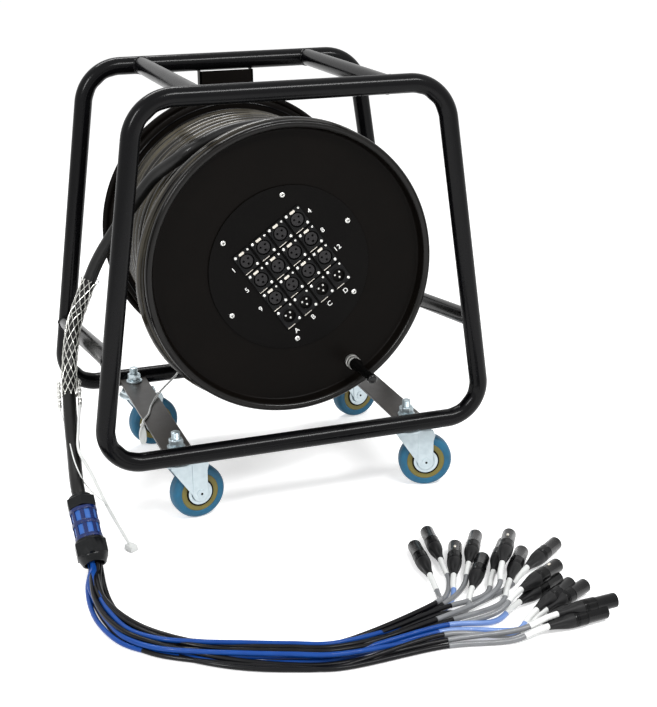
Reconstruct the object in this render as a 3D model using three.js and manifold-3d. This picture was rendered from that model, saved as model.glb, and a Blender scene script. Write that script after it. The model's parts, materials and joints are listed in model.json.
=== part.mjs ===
// Stage box snake: a drum of multicore cable that turns in a tubular frame on four casters.
// Millimetres, +Z up, the front towards -Y. The floor is z = 0 and the origin is midway between
// the frame's sides and between the crank's tip and the rear loop.

import * as THREE from "three";
import { mergeVertices } from "three/addons/utils/BufferGeometryUtils.js";
import Module from "manifold-3d";

const wasm = await Module();
wasm.setup();

// Clearances and cuts
const seatGap = 0.3;
const turnGap = 0.45;
const overrun = 2;

// Frame
const tubeDiameter = 25;
const loopSpacing = 326;
const loopTopWidth = 404;
const loopBottomWidth = 540;
const bottomBarHeight = 103.5;
const loopHeight = 467;
const topBendRadius = 56;
const bottomBendRadius = 47;
const topTubeSpacing = 248;
const sideTubeFrontHeight = 245.5;
const sideTubeRearHeight = 201.5;
const casterBarWidth = 40;
const casterBarThickness = 4;
const casterBarInset = 104.5;
const studInset = 28;
const uprightWidth = 80;
const uprightThickness = 3;
const uprightReturn = 15;
const bearingDiameter = 72;
const bearingBossDiameter = 50;
const bearingFlangeThickness = 5;

// Casters
const wheelDiameter = 75;
const tyreWidth = 23;
const tyreCrown = 3;
const coreDiameter = 53;
const coreWidth = 25;
const coreRecess = 2;
const coreRecessInnerDiameter = 38;
const axleDiameter = 8;
const axleHeadDiameter = 13;
const axleHeadHeight = 3;
const casterTrail = 27;
const forkThickness = 2.5;
const forkSideGap = 1.2;
const forkHeadDiameter = 48;
const forkTopHeight = 89.5;
const forkFootRadius = 11;
const casterTurns = { front_left: 10, front_right: -15, rear_left: 10, rear_right: 12 };
const headRingDiameter = 40;
const headRingHeight = 4;
const raceDiameter = 30;
const raceHeight = 6;
const stemDiameter = 12;
const stemProud = 10;
const washerDiameter = 24;
const washerThickness = 2.5;
const nutFlats = 19;
const nutHeight = 10;

// Drum
const flangeDiameter = 392;
const axisDrop = 3.3;
const rimRollDiameter = 10;
const rimRollStartAngle = 200;
const rimRollTurnAngle = 280;
const rimRollFront = 25.5;
const drumLength = 286.5;
const dishDepth = 10.8;
const dishWallWidth = 4;
const flangeThickness = 2;
const flangeOpeningDiameter = 176;
const barrelDiameter = 200;
const barrelThickness = 3;
const shaftDiameter = 25;
const hubDiameter = 90;
const hubThickness = 6;
const shaftEndNutDiameter = 36;
const shaftEndNutHeight = 8;

// Cable on the drum
const cableDiameter = 18;
const turnPitch = 18.4;
const rearLayerInset = 32;
const frontLayerInset = 8;
const frontLayerFall = 6;
const frontTurns = 2;
const slackSwell = 9;
const slackAngle = -150;
const laneStartAngle = 150;
const laneEndAngle = 405;
const climbEndAngle = 486;
const climbRiseAngle = 67.5;
const climbSlack = 4;
const frontTurnsStartAngle = 60;
const rampLength = 28;
const rampTopShare = 0.25;
const rampReach = 5;

// Crank
const crankInset = 31.5;
const crankAngle = -58.5;
const crankCollarDiameter = 19;
const crankCollarHeight = 15;
const crankBoltDiameter = 8;
const crankBoltHeadDiameter = 9;
const crankBoltHeadHeight = 2.5;
const gripBaseDiameter = 17;
const gripTipDiameter = 13;
const gripLength = 66;
const gripShoulderShare = 0.2;
const gripTipRounding = 2;

// Panel
const panelTurn = 35;
const panelDiameter = 221;
const panelThickness = 2;
const panelScrewCircle = 198;
const panelScrewDiameter = 7.5;
const panelScrewHeight = 1.8;
const panelScrewCount = 6;
const columnPitch = 28.4;
const rowPitch = 32.8;
const gridShares = [-1.5, -0.5, 0.5, 1.5];
const gridOffsetRight = 3;
const gridOffsetUp = -2;

// Receptacles
const plateWidth = 26;
const plateHeight = 31;
const plateThickness = 2.4;
const plateHoleDiameter = 24;
const bodyDiameter = 23.2;
const bodyDepth = 16;
const earthPlateThickness = 1.5;
const earthPlateMargin = 3;
const cupDiameter = 18;
const cupDepth = 13;
const pinDiameter = 2.4;
const pinLength = 10;
const pinCircleDiameter = 12.6;
const pinAngles = [30, 150, 270];
const latchOffset = 12.5;
const latchWidth = 8;
const latchHeight = 3.6;
const latchProud = 1.6;
const latchDepth = 3.6;
const latchTravel = 1.4;

// Cable end
const gripLayThickness = 1.4;
const gripLayGap = 1.1;
const ferruleDiameter = 6;
const ferruleLength = 44;
const wireLegDiameter = 4;
const legStartShare = 0.33;
const strapEndWidth = 12;
const strapEndDepth = 16;
const strapEndHeight = 8;
const glandNutUpperFlats = 34;
const glandNutUpperLength = 14;
const glandBodyDiameter = 35;
const glandBodyLength = 42;
const glandNutLowerFlats = 38;
const glandNutLowerLength = 32;
const glandMouthDepth = 6;
const bundleDiameter = 26;
const leadDiameter = 6;
const fanRadius = 60;
const fanLayers = [4, 10.3];
const plugDiameter = 19;
const plugShellLength = 46;
const plugBootLength = 32;
const plugBootEndDiameter = 9;
const tieCordDiameter = 2.6;
const tieLoopDiameter = 8;

// Routes of the cords, as points along each. The frame's front loop is y = 0 here.
const glandTopPlace = [-305, -32, 78.5];
const glandMouthPlace = [-302.3, -98, 19.5];
const hangRoute = [
  [-126.2, 125, 469],
  [-148.9, 149, 446.2],
  [-172, 162, 415],
  [-208.3, 168, 365],
  [-229.6, 176, 328.7],
  [-246.5, 180, 290.5],
  [-260.8, 173, 262],
  [-271.8, 154.5, 243.9],
  [-280, 135, 219],
  [-286.5, 117, 194.3],
  [-291.5, 95, 171.5],
  [-296, 67, 146.5],
  [-299.5, 36, 121],
];
const wireLegRoute = [
  [-290, 45, 143],
  [-296, 11, 126.5],
  [-284, -2, 98],
  [-269.6, -18, 58],
  [-254.9, -32, 24.4],
  [-246.7, -38, 7],
];
const bundleRoute = [
  [-309, -132, 13.3],
  [-310.5, -172, 13.3],
  [-304, -216, 13.3],
  [-288, -258, 13.3],
  [-262, -288, 13.3],
  [-228, -313, 13.3],
  [-183, -338, 13.3],
  [-133, -360, 13.3],
  [-88, -375, 13.3],
];
const tieRoute = [
  [-80, 326, 117.6],
  [-101, 290, 112.5],
  [-144, 225, 109.5],
  [-163, 189, 107.1],
  [-176, 152, 107.1],
  [-188, 130, 107.4],
  [-192, 120, 93.5],
  [-192, 116, 83.5],
];
const tieLoopRoute = [
  [-192, 117, 87.5],
  [-193, 108, 63.5],
];

// The leads' far ends: where each plug's tip lies, its height, and its heading in degrees.
const plugPlaces = [
  [93, -174, 10, 81],
  [124, -143, 10, 79],
  [142, -192, 10, 64],
  [179, -175, 10, 58],
  [160, -235, 10, 55],
  [203, -208, 10, 54],
  [206, -216, 26, 57],
  [214, -236, 10, 52],
  [266, -231, 10, 35],
  [225, -307, 24, 29],
  [223, -313, 10, 27],
  [226, -337, 14, 32],
  [244, -341, 10, 26],
  [252, -396, 18, 4],
  [235, -385, 10, 8],
  [236, -404, 10, 6],
];

// Counts of facets and steps
const tubeSides = 12;
const bendSteps = 4;
const roundSides = 16;
const wheelSides = 24;
const barrelSides = 32;
const rimSides = 42;
const rimRollSteps = 4;
const holeSides = 8;
const turnSteps = 24;
const turnSides = 6;
const cordSides = 8;
const laneSteps = 16;
const climbSteps = 5;
const sleeveStartStep = 5;
const sleeveEndStep = 11;
const ferruleStep = 10;

// Places that follow from the sizes
const tubeRadius = tubeDiameter / 2;
const casterBarSpacing = loopBottomWidth - 2 * casterBarInset;
const axisHeight = bottomBarHeight + loopHeight / 2 - axisDrop;
const topBarHeight = bottomBarHeight + loopHeight;
const rearLoopY = loopSpacing;
const rimRollRear = rimRollFront + drumLength;
const frontPlateInner = rimRollFront + dishDepth + flangeThickness;
const rearPlateInner = rimRollRear - dishDepth - flangeThickness;
const panelFront = rimRollFront + dishDepth - seatGap - panelThickness;
const plateFront = panelFront - seatGap - plateThickness;
const flangeRadius = flangeDiameter / 2;
const crankRadius = flangeRadius - crankInset;
const rearLayerRadius = flangeRadius - rearLayerInset;
const frontLayerRadius = flangeRadius - frontLayerInset;
const cableRadius = cableDiameter / 2;
const crankFace = rimRollFront + dishDepth - seatGap;
const gripTipY = crankFace - crankCollarHeight - seatGap - gripLength - crankBoltHeadHeight;
const middleY = (gripTipY + rearLoopY + tubeRadius) / 2;
const degree = Math.PI / 180;

// Finishes
function finish(color, roughness, metalness) {
  return new THREE.MeshStandardMaterial({ color, roughness, metalness });
}
const blackTube = finish("#17181a", 0.38, 0.1);
const blackSheet = finish("#121213", 0.45, 0.1);
const greySteel = finish("#3a3a3b", 0.5, 0.4);
const zinc = finish("#cdd4d6", 0.35, 0.85);
const blueTyre = finish("#2f7fae", 0.6, 0);
const oliveCore = finish("#8a7d33", 0.5, 0);
const cableJacket = finish("#4a4844", 0.55, 0);
const blackPlastic = finish("#1a1a1b", 0.4, 0);
const blueGland = finish("#1f56b4", 0.25, 0);
const clearPlastic = finish("#cfd2d0", 0.3, 0);
const steelWire = finish("#c4c4be", 0.35, 0.8);
const silverTab = finish("#c9c9c9", 0.35, 0.6);

// A solid from a closed geometry, and a geometry from a solid.
function solid(geometry, matrix) {
  const bare = new THREE.BufferGeometry();
  bare.setAttribute("position", geometry.getAttribute("position").clone());
  if (geometry.index) bare.setIndex(geometry.index.clone());
  if (matrix) bare.applyMatrix4(matrix);
  const merged = mergeVertices(bare, 1e-4);
  const mesh = new wasm.Mesh({
    numProp: 3,
    vertProperties: merged.getAttribute("position").array,
    triVerts: new Uint32Array(merged.index.array),
  });
  return new wasm.Manifold(mesh);
}

function geometryOf(body) {
  const mesh = body.getMesh();
  const places = new Float32Array(mesh.numVert * 3);
  for (let i = 0; i < mesh.numVert; i++) {
    for (let k = 0; k < 3; k++) places[3 * i + k] = mesh.vertProperties[mesh.numProp * i + k];
  }
  const geometry = new THREE.BufferGeometry();
  geometry.setAttribute("position", new THREE.BufferAttribute(places, 3));
  geometry.setIndex(new THREE.BufferAttribute(new Uint32Array(mesh.triVerts), 1));
  return geometry;
}

const joined = (bodies) => bodies.reduce((all, next) => all.add(next));
const moved = (x, y, z) => new THREE.Matrix4().makeTranslation(x, y, z);
const axisY = new THREE.Vector3(0, 1, 0);
const axisZ = new THREE.Vector3(0, 0, 1);
const point = (x, y, z) => new THREE.Vector3(x, y, z);
const largest = (body) => body.decompose().reduce((a, b) => (b.volume() > a.volume() ? b : a));

// A turned piece about the line x = 0, z = 0, along +Y; the outline is a list of [radius, y].
function turnedPiece(outline, segments) {
  const closed = [...outline, outline[0]].map(([radius, y]) => new THREE.Vector2(radius, y));
  const geometry = new THREE.LatheGeometry(closed, segments);
  const body = solid(geometry);
  if (body.volume() > 0) return geometry;
  return new THREE.LatheGeometry(closed.reverse(), segments);
}

// The same about +Z; the outline is a list of [radius, z].
function turnedUpright(outline, segments) {
  const geometry = turnedPiece(outline, segments);
  geometry.rotateX(90 * degree);
  return geometry;
}

const disc = (radius, from, to) => [[0, from], [radius, from], [radius, to], [0, to]];
const ring = (inner, outer, from, to) => [[inner, from], [outer, from], [outer, to], [inner, to]];

// A line through given stations; a sweep along it has a section at each station.
class Stations extends THREE.Curve {
  constructor(points, closed = false) {
    super();
    this.points = points;
    this.closed = closed;
    this.spans = closed ? points.length : points.length - 1;
  }
  at(index) {
    const count = this.points.length;
    const kept = this.closed ? (index + count) % count : Math.min(Math.max(index, 0), count - 1);
    return this.points[kept];
  }
  getPoint(t, target = new THREE.Vector3()) {
    const place = t * this.spans;
    const index = Math.min(Math.floor(place + 1e-6), this.spans - 1);
    return target.copy(this.at(index)).lerp(this.at(index + 1), place - index);
  }
  getPointAt(t, target) {
    return this.getPoint(t, target);
  }
  getTangentAt(t, target = new THREE.Vector3()) {
    const index = Math.round(t * this.spans);
    const before = new THREE.Vector3().subVectors(this.at(index), this.at(index - 1)).normalize();
    const after = new THREE.Vector3().subVectors(this.at(index + 1), this.at(index)).normalize();
    return target.copy(before).add(after).normalize();
  }
  getTangent(t, target) {
    return this.getTangentAt(t, target);
  }
}

// The outline of a tube's section, with a bore where hole is more than zero.
function circleShape(radius, sides, hole = 0) {
  const outline = (size) => {
    const points = [];
    for (let i = 0; i < sides; i++) {
      const angle = (i / sides) * 2 * Math.PI;
      points.push(new THREE.Vector2(size * Math.cos(angle), size * Math.sin(angle)));
    }
    return points;
  };
  const shape = new THREE.Shape(outline(radius));
  if (hole > 0) shape.holes.push(new THREE.Path(outline(hole).reverse()));
  return shape;
}

function sweep(points, radius, sides, hole = 0) {
  const line = new Stations(points);
  const settings = { steps: line.spans, bevelEnabled: false, extrudePath: line };
  return new THREE.ExtrudeGeometry(circleShape(radius, sides, hole), settings);
}

const straightTube = (from, to, radius, sides) => sweep([from, to], radius, sides);

const nodes = new THREE.Group();
function place(name, geometry, material) {
  const mesh = new THREE.Mesh(geometry, material);
  mesh.name = name;
  nodes.add(mesh);
  return mesh;
}

// Frame. A loop's centreline is a trapezoid with round corners, in the plane y.
function loopStations(y) {
  const corners = [
    [point(-loopBottomWidth / 2, y, bottomBarHeight), bottomBendRadius],
    [point(loopBottomWidth / 2, y, bottomBarHeight), bottomBendRadius],
    [point(loopTopWidth / 2, y, topBarHeight), topBendRadius],
    [point(-loopTopWidth / 2, y, topBarHeight), topBendRadius],
  ];
  const stations = [];
  corners.forEach(([corner, radius], i) => {
    const before = corners[(i + corners.length - 1) % corners.length][0];
    const after = corners[(i + 1) % corners.length][0];
    const back = new THREE.Vector3().subVectors(before, corner).normalize();
    const ahead = new THREE.Vector3().subVectors(after, corner).normalize();
    const half = back.angleTo(ahead) / 2;
    const middle = new THREE.Vector3().addVectors(back, ahead).normalize();
    const centre = corner.clone().addScaledVector(middle, radius / Math.sin(half));
    const start = corner.clone().addScaledVector(back, radius / Math.tan(half)).sub(centre);
    const sweepAngle = Math.PI - 2 * half;
    for (let k = 0; k <= bendSteps; k++) {
      const arm = start.clone().applyAxisAngle(axisY, (-sweepAngle * k) / bendSteps);
      stations.push(arm.add(centre));
    }
  });
  return stations;
}

function loopTube(y, radius) {
  const stations = loopStations(y);
  return new THREE.TubeGeometry(new Stations(stations, true), stations.length, radius, tubeSides, true);
}

const frontLoop = solid(loopTube(0, tubeRadius));
const rearLoop = solid(loopTube(rearLoopY, tubeRadius));
const legSlope = (loopBottomWidth - loopTopWidth) / 2 / loopHeight;
const legX = (z) => loopTopWidth / 2 + legSlope * (topBarHeight - z);

// A cross tube runs from one loop to the other; its ends are coped to the loops' tubes.
function crossTube(front, rear) {
  const tube = solid(straightTube(front, rear, tubeRadius, tubeSides));
  const cope = (y) => solid(loopTube(y, tubeRadius + seatGap));
  return largest(tube.subtract(cope(0)).subtract(cope(rearLoopY)));
}

place("front_loop", geometryOf(frontLoop), blackTube);
place("rear_loop", geometryOf(rearLoop), blackTube);
for (const [side, sign] of [["left", -1], ["right", 1]]) {
  const topX = (sign * topTubeSpacing) / 2;
  const top = crossTube(point(topX, 0, topBarHeight), point(topX, rearLoopY, topBarHeight));
  place("top_tube_" + side, geometryOf(top), blackTube);
  const sideTube = crossTube(
    point(sign * legX(sideTubeFrontHeight), 0, sideTubeFrontHeight),
    point(sign * legX(sideTubeRearHeight), rearLoopY, sideTubeRearHeight),
  );
  place("side_tube_" + side, geometryOf(sideTube), blackTube);
}

// Caster bars butt against the loops' bottom bars at their mid height.
const studPlaces = [
  ["front_left", -1, studInset],
  ["front_right", 1, studInset],
  ["rear_left", -1, rearLoopY - studInset],
  ["rear_right", 1, rearLoopY - studInset],
];
const barLength = rearLoopY - 2 * tubeRadius - 2 * seatGap;
for (const [side, sign] of [["left", -1], ["right", 1]]) {
  const x = (sign * casterBarSpacing) / 2;
  const bar = new THREE.BoxGeometry(casterBarWidth, barLength, casterBarThickness);
  let body = solid(bar, moved(x, rearLoopY / 2, bottomBarHeight));
  for (const [, studSign, studY] of studPlaces.filter(([, s]) => s === sign)) {
    const reach = casterBarThickness / 2 + overrun;
    const hole = turnedUpright(disc(stemDiameter / 2 + seatGap, -reach, reach), roundSides);
    body = body.subtract(solid(hole, moved((studSign * casterBarSpacing) / 2, studY, bottomBarHeight)));
  }
  place("caster_bar_" + side, geometryOf(body), greySteel);
}

// The rear upright is a channel between the rear loop's top and bottom bars, its web towards the drum.
const uprightFrontY = rimRollRear + rimRollDiameter / 2 + 2 * seatGap + uprightThickness;
const uprightOutline = new THREE.Shape();
const uprightHalf = uprightWidth / 2;
uprightOutline.moveTo(-uprightHalf, 0);
uprightOutline.lineTo(uprightHalf, 0);
uprightOutline.lineTo(uprightHalf, uprightReturn);
uprightOutline.lineTo(uprightHalf - uprightThickness, uprightReturn);
uprightOutline.lineTo(uprightHalf - uprightThickness, uprightThickness);
uprightOutline.lineTo(uprightThickness - uprightHalf, uprightThickness);
uprightOutline.lineTo(uprightThickness - uprightHalf, uprightReturn);
uprightOutline.lineTo(-uprightHalf, uprightReturn);
const uprightHeight = loopHeight - 2 * tubeRadius - 2 * seatGap;
const uprightBar = new THREE.ExtrudeGeometry(uprightOutline, { depth: uprightHeight, bevelEnabled: false });
const uprightHole = turnedPiece(
  disc(bearingBossDiameter / 2 + seatGap, -overrun, uprightThickness + overrun), roundSides);
const upright = solid(uprightBar, moved(0, uprightFrontY, bottomBarHeight + tubeRadius + seatGap))
  .subtract(solid(uprightHole, moved(0, uprightFrontY, axisHeight)));
place("rear_upright", geometryOf(upright), blackSheet);

// The bearing block is bolted to the back of the web, and its boss reaches through it to the drum's hub.
const hubRear = rearPlateInner + flangeThickness + seatGap + hubThickness;
const bearingFront = hubRear + seatGap;
const bearingFlangeY = uprightFrontY + uprightThickness + seatGap;
const bearingBack = bearingFlangeY + bearingFlangeThickness;
const shaftBore = shaftDiameter / 2 + seatGap;
const bearingOutline = [
  [shaftBore, bearingFront],
  [bearingBossDiameter / 2, bearingFront],
  [bearingBossDiameter / 2, bearingFlangeY],
  [bearingDiameter / 2, bearingFlangeY],
  [bearingDiameter / 2, bearingBack],
  [shaftBore, bearingBack],
];
place("bearing_block", turnedPiece(bearingOutline, roundSides), greySteel).position.set(0, 0, axisHeight);

// Casters: the stem and fork turn about the stud's line, and the wheel about the axle.
const barTop = bottomBarHeight + casterBarThickness / 2;
const barBottom = bottomBarHeight - casterBarThickness / 2;
const wheelRadius = wheelDiameter / 2;
const forkInner = coreWidth / 2 + forkSideGap;
const headTop = forkTopHeight + headRingHeight;

function hexOutline(flats) {
  const corner = flats / 2 / Math.cos(30 * degree);
  const points = [];
  for (let i = 0; i < 6; i++) {
    const angle = i * 60 * degree;
    points.push(new THREE.Vector2(corner * Math.cos(angle), corner * Math.sin(angle)));
  }
  return new THREE.Shape(points);
}

function casterStem() {
  const raceTop = barBottom - seatGap;
  const race = solid(turnedUpright(disc(raceDiameter / 2, headTop + seatGap, raceTop), holeSides));
  const stemTop = barTop + seatGap + washerThickness + nutHeight + stemProud;
  const stem = solid(turnedUpright(disc(stemDiameter / 2, headTop + raceHeight / 2, stemTop), holeSides));
  const washerBottom = barTop + seatGap;
  const washerTop = washerBottom + washerThickness;
  const washer = solid(turnedUpright(disc(washerDiameter / 2, washerBottom, washerTop), holeSides));
  const nut = new THREE.ExtrudeGeometry(hexOutline(nutFlats), { depth: nutHeight, bevelEnabled: false });
  return joined([race, stem, washer, solid(nut, moved(0, 0, washerTop - seatGap))]);
}

function casterFork() {
  const headBottom = forkTopHeight - forkThickness;
  const head = solid(turnedUpright(disc(forkHeadDiameter / 2, headBottom, forkTopHeight), roundSides));
  const raised = solid(turnedUpright(disc(headRingDiameter / 2, headBottom, headTop), roundSides));
  const width = 2 * (forkInner + forkThickness);
  const roof = new THREE.BoxGeometry(casterTrail, width, forkThickness);
  const roofPlate = solid(roof, moved(casterTrail / 2, 0, forkTopHeight - forkThickness / 2));
  const cheek = new THREE.Shape();
  const headRadius = forkHeadDiameter / 2;
  cheek.moveTo(-headRadius / 2, forkTopHeight);
  cheek.lineTo(-headRadius / 2, forkTopHeight - 2 * forkThickness);
  cheek.lineTo(casterTrail - forkFootRadius, wheelRadius + forkFootRadius / 2);
  for (let k = 0; k <= bendSteps; k++) {
    const angle = Math.PI + (Math.PI * k) / bendSteps;
    const footX = casterTrail + forkFootRadius * Math.cos(angle);
    cheek.lineTo(footX, wheelRadius + forkFootRadius * Math.sin(angle));
  }
  cheek.lineTo(casterTrail + forkFootRadius, forkTopHeight);
  const plates = [-1, 1].map((sign) => {
    const plate = new THREE.ExtrudeGeometry(cheek, { depth: forkThickness, bevelEnabled: false });
    plate.rotateX(90 * degree);
    return solid(plate, moved(0, sign > 0 ? forkInner + forkThickness : -forkInner, 0));
  });
  const outer = forkInner + forkThickness;
  const headRadiusOfBolt = axleHeadDiameter / 2;
  const bolt = [
    disc(axleDiameter / 2, -outer, outer),
    disc(headRadiusOfBolt, -outer - axleHeadHeight, -outer + seatGap),
    disc(headRadiusOfBolt, outer - seatGap, outer + axleHeadHeight),
  ].map((outline) => solid(turnedPiece(outline, holeSides), moved(casterTrail, 0, wheelRadius)));
  const edge = roofPlate.add(head).add(raised);
  return joined([edge, ...plates, ...bolt]);
}

function casterCore() {
  const half = coreWidth / 2;
  const bore = axleDiameter / 2 + seatGap;
  const outline = [
    [bore, -half],
    [coreRecessInnerDiameter / 2, -half],
    [coreRecessInnerDiameter / 2, coreRecess - half],
    [coreDiameter / 2, coreRecess - half],
    [coreDiameter / 2, half - coreRecess],
    [coreRecessInnerDiameter / 2, half - coreRecess],
    [coreRecessInnerDiameter / 2, half],
    [bore, half],
  ];
  return turnedPiece(outline, roundSides);
}

function casterTyre() {
  const half = tyreWidth / 2;
  const inner = coreDiameter / 2 + seatGap;
  const shoulder = wheelRadius - tyreCrown;
  const outline = [
    [inner, -half],
    [shoulder, -half],
    [wheelRadius, tyreCrown - half],
    [wheelRadius, half - tyreCrown],
    [shoulder, half],
    [inner, half],
  ];
  return turnedPiece(outline, wheelSides);
}

for (const [corner, sign, y] of studPlaces) {
  const x = (sign * casterBarSpacing) / 2;
  place("caster_stem_" + corner, geometryOf(casterStem()), zinc).position.set(x, y, 0);
  const swivel = new THREE.Group();
  swivel.position.set(x, y, 0);
  swivel.rotation.z = casterTurns[corner] * degree;
  nodes.add(swivel);
  const fork = place("caster_fork_" + corner, geometryOf(casterFork()), zinc);
  const wheel = [
    place("caster_core_" + corner, casterCore(), oliveCore),
    place("caster_tyre_" + corner, casterTyre(), blueTyre),
  ];
  wheel.forEach((piece) => piece.position.set(casterTrail, 0, wheelRadius));
  swivel.add(fork, ...wheel);
}

// Drum. Flange outlines are [radius, depth from the rim roll's middle towards the cable].
function flangeOutline(openingRadius) {
  const roll = rimRollDiameter / 2;
  const middle = flangeRadius - roll;
  const wall = middle - roll / 2;
  const outline = [[openingRadius, dishDepth], [wall - dishWallWidth, dishDepth]];
  for (let k = 0; k <= rimRollSteps; k++) {
    const angle = (rimRollStartAngle + (rimRollTurnAngle * k) / rimRollSteps) * degree;
    outline.push([middle + roll * Math.cos(angle), roll * Math.sin(angle)]);
  }
  outline.push([wall - dishWallWidth + flangeThickness, dishDepth + flangeThickness]);
  outline.push([openingRadius, dishDepth + flangeThickness]);
  return outline;
}
const frontFlangeOutline = flangeOutline(flangeOpeningDiameter / 2).map(([r, a]) => [r, rimRollFront + a]);
const rearFlangeOutline = flangeOutline(shaftBore).map(([r, a]) => [r, rimRollRear - a]);
const drumAxis = moved(0, 0, axisHeight);
const crankX = crankRadius * Math.cos(crankAngle * degree);
const crankZ = axisHeight + crankRadius * Math.sin(crankAngle * degree);
const crankHole = turnedPiece(
  disc(crankBoltDiameter / 2 + seatGap, rimRollFront, frontPlateInner + overrun), roundSides);
const frontFlange = solid(turnedPiece(frontFlangeOutline, rimSides), drumAxis)
  .subtract(solid(crankHole, moved(crankX, 0, crankZ)));
place("front_flange", geometryOf(frontFlange), blackSheet);
place("rear_flange", turnedPiece(rearFlangeOutline, rimSides), blackSheet).position.set(0, 0, axisHeight);

const barrelRadius = barrelDiameter / 2;
const barrelOutline = ring(
  barrelRadius - barrelThickness, barrelRadius, frontPlateInner + seatGap, rearPlateInner - seatGap);
place("drum_barrel", turnedPiece(barrelOutline, barrelSides), blackSheet).position.set(0, 0, axisHeight);

const shaftEnd = bearingBack + seatGap;
const shaftOutline = [
  [0, rearPlateInner - hubThickness],
  [shaftDiameter / 2, rearPlateInner - hubThickness],
  [shaftDiameter / 2, rearPlateInner + flangeThickness + seatGap],
  [hubDiameter / 2, rearPlateInner + flangeThickness + seatGap],
  [hubDiameter / 2, hubRear],
  [shaftDiameter / 2, hubRear],
  [shaftDiameter / 2, shaftEnd],
  [shaftEndNutDiameter / 2, shaftEnd],
  [shaftEndNutDiameter / 2, shaftEnd + shaftEndNutHeight],
  [0, shaftEnd + shaftEndNutHeight],
];
place("drum_shaft", turnedPiece(shaftOutline, roundSides), greySteel).position.set(0, 0, axisHeight);

// The wound cable. The front group's turns rise towards the front flange and hang slack at the lower left.
const firstTurnY = frontPlateInner + turnGap + cableRadius;
const frontEndY = firstTurnY + frontTurns * turnPitch;
const laneY = frontEndY + 2 * cableRadius + turnGap;
const rearStartY = laneY + turnPitch;
const rearEndY = rearPlateInner - turnGap - cableRadius;
const rearTurns = (rearEndY - rearStartY) / turnPitch;

const ringPoint = (radius, angle, y) =>
  point(radius * Math.cos(angle * degree), y, axisHeight + radius * Math.sin(angle * degree));

const tightRadius = (y) => frontLayerRadius - (frontLayerFall * (y - firstTurnY)) / turnPitch;
function frontRadius(angle, y) {
  const lean = Math.max(0, Math.cos((angle - slackAngle) * degree));
  return tightRadius(y) + slackSwell * lean * lean;
}

// The points of a winding, with one straight stretch of a cable's diameter at each end.
function windingPoints(turns, startAngle, startY, pitch, radiusAt) {
  const count = Math.round(turns * turnSteps);
  const points = [];
  for (let i = 0; i <= count; i++) {
    const angle = startAngle + (i * 360 * turns) / count;
    const y = startY + (pitch * turns * i) / count;
    points.push(ringPoint(radiusAt(angle, y), angle, y));
  }
  const straight = (near, next) => {
    const way = new THREE.Vector3().subVectors(near, next).normalize();
    way.y = 0;
    return near.clone().addScaledVector(way.normalize(), cableDiameter);
  };
  return [straight(points[0], points[1]), ...points, straight(points[count], points[count - 1])];
}

// A wound tube: one ring of six points at each station, held square to the line and turned with the drum.
function windingTube(points, radius) {
  const places = [];
  const faces = [];
  const line = new Stations(points);
  points.forEach((centre, i) => {
    const along = line.getTangentAt(i / line.spans);
    const out = point(centre.x, 0, centre.z - axisHeight).normalize();
    const side = new THREE.Vector3().crossVectors(along, out).normalize();
    const up = new THREE.Vector3().crossVectors(side, along).normalize();
    for (let k = 0; k < turnSides; k++) {
      const angle = ((k + 0.5) / turnSides) * 2 * Math.PI;
      const vertex = centre.clone().addScaledVector(up, radius * Math.sin(angle));
      vertex.addScaledVector(side, radius * Math.cos(angle));
      places.push(vertex.x, vertex.y, vertex.z);
    }
  });
  for (let i = 0; i < points.length - 1; i++) {
    for (let k = 0; k < turnSides; k++) {
      const a = i * turnSides + k;
      const b = i * turnSides + ((k + 1) % turnSides);
      faces.push(a, a + turnSides, b, b, a + turnSides, b + turnSides);
    }
  }
  const last = (points.length - 1) * turnSides;
  for (let k = 1; k < turnSides - 1; k++) {
    faces.push(0, k, k + 1);
    faces.push(last, last + k + 1, last + k);
  }
  const geometry = new THREE.BufferGeometry();
  geometry.setAttribute("position", new THREE.BufferAttribute(new Float32Array(places), 3));
  geometry.setIndex(faces);
  if (solid(geometry).volume() < 0) geometry.setIndex(faces.reverse());
  return geometry;
}

// The least gap between a winding's stretches that are more than half a turn apart along it.
function leastGap(points, radius) {
  let least = Infinity;
  const apart = turnSteps / 2;
  for (let i = 0; i < points.length; i++) {
    for (let j = i + apart; j < points.length; j++) {
      least = Math.min(least, points[i].distanceTo(points[j]) - 2 * radius);
    }
  }
  return least;
}

const rearWinding = windingPoints(rearTurns, laneStartAngle, rearStartY, turnPitch, () => rearLayerRadius);
const frontWinding = windingPoints(frontTurns, frontTurnsStartAngle, firstTurnY, turnPitch, frontRadius);
place("wound_cable_rear", windingTube(rearWinding, cableRadius), cableJacket);
place("wound_cable_front", windingTube(frontWinding, cableRadius), cableJacket);
console.log("least gap, rear turns: " + leastGap(rearWinding, cableRadius).toFixed(2) + " mm");
console.log("least gap, front turns: " + leastGap(frontWinding, cableRadius).toFixed(2) + " mm");

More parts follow.
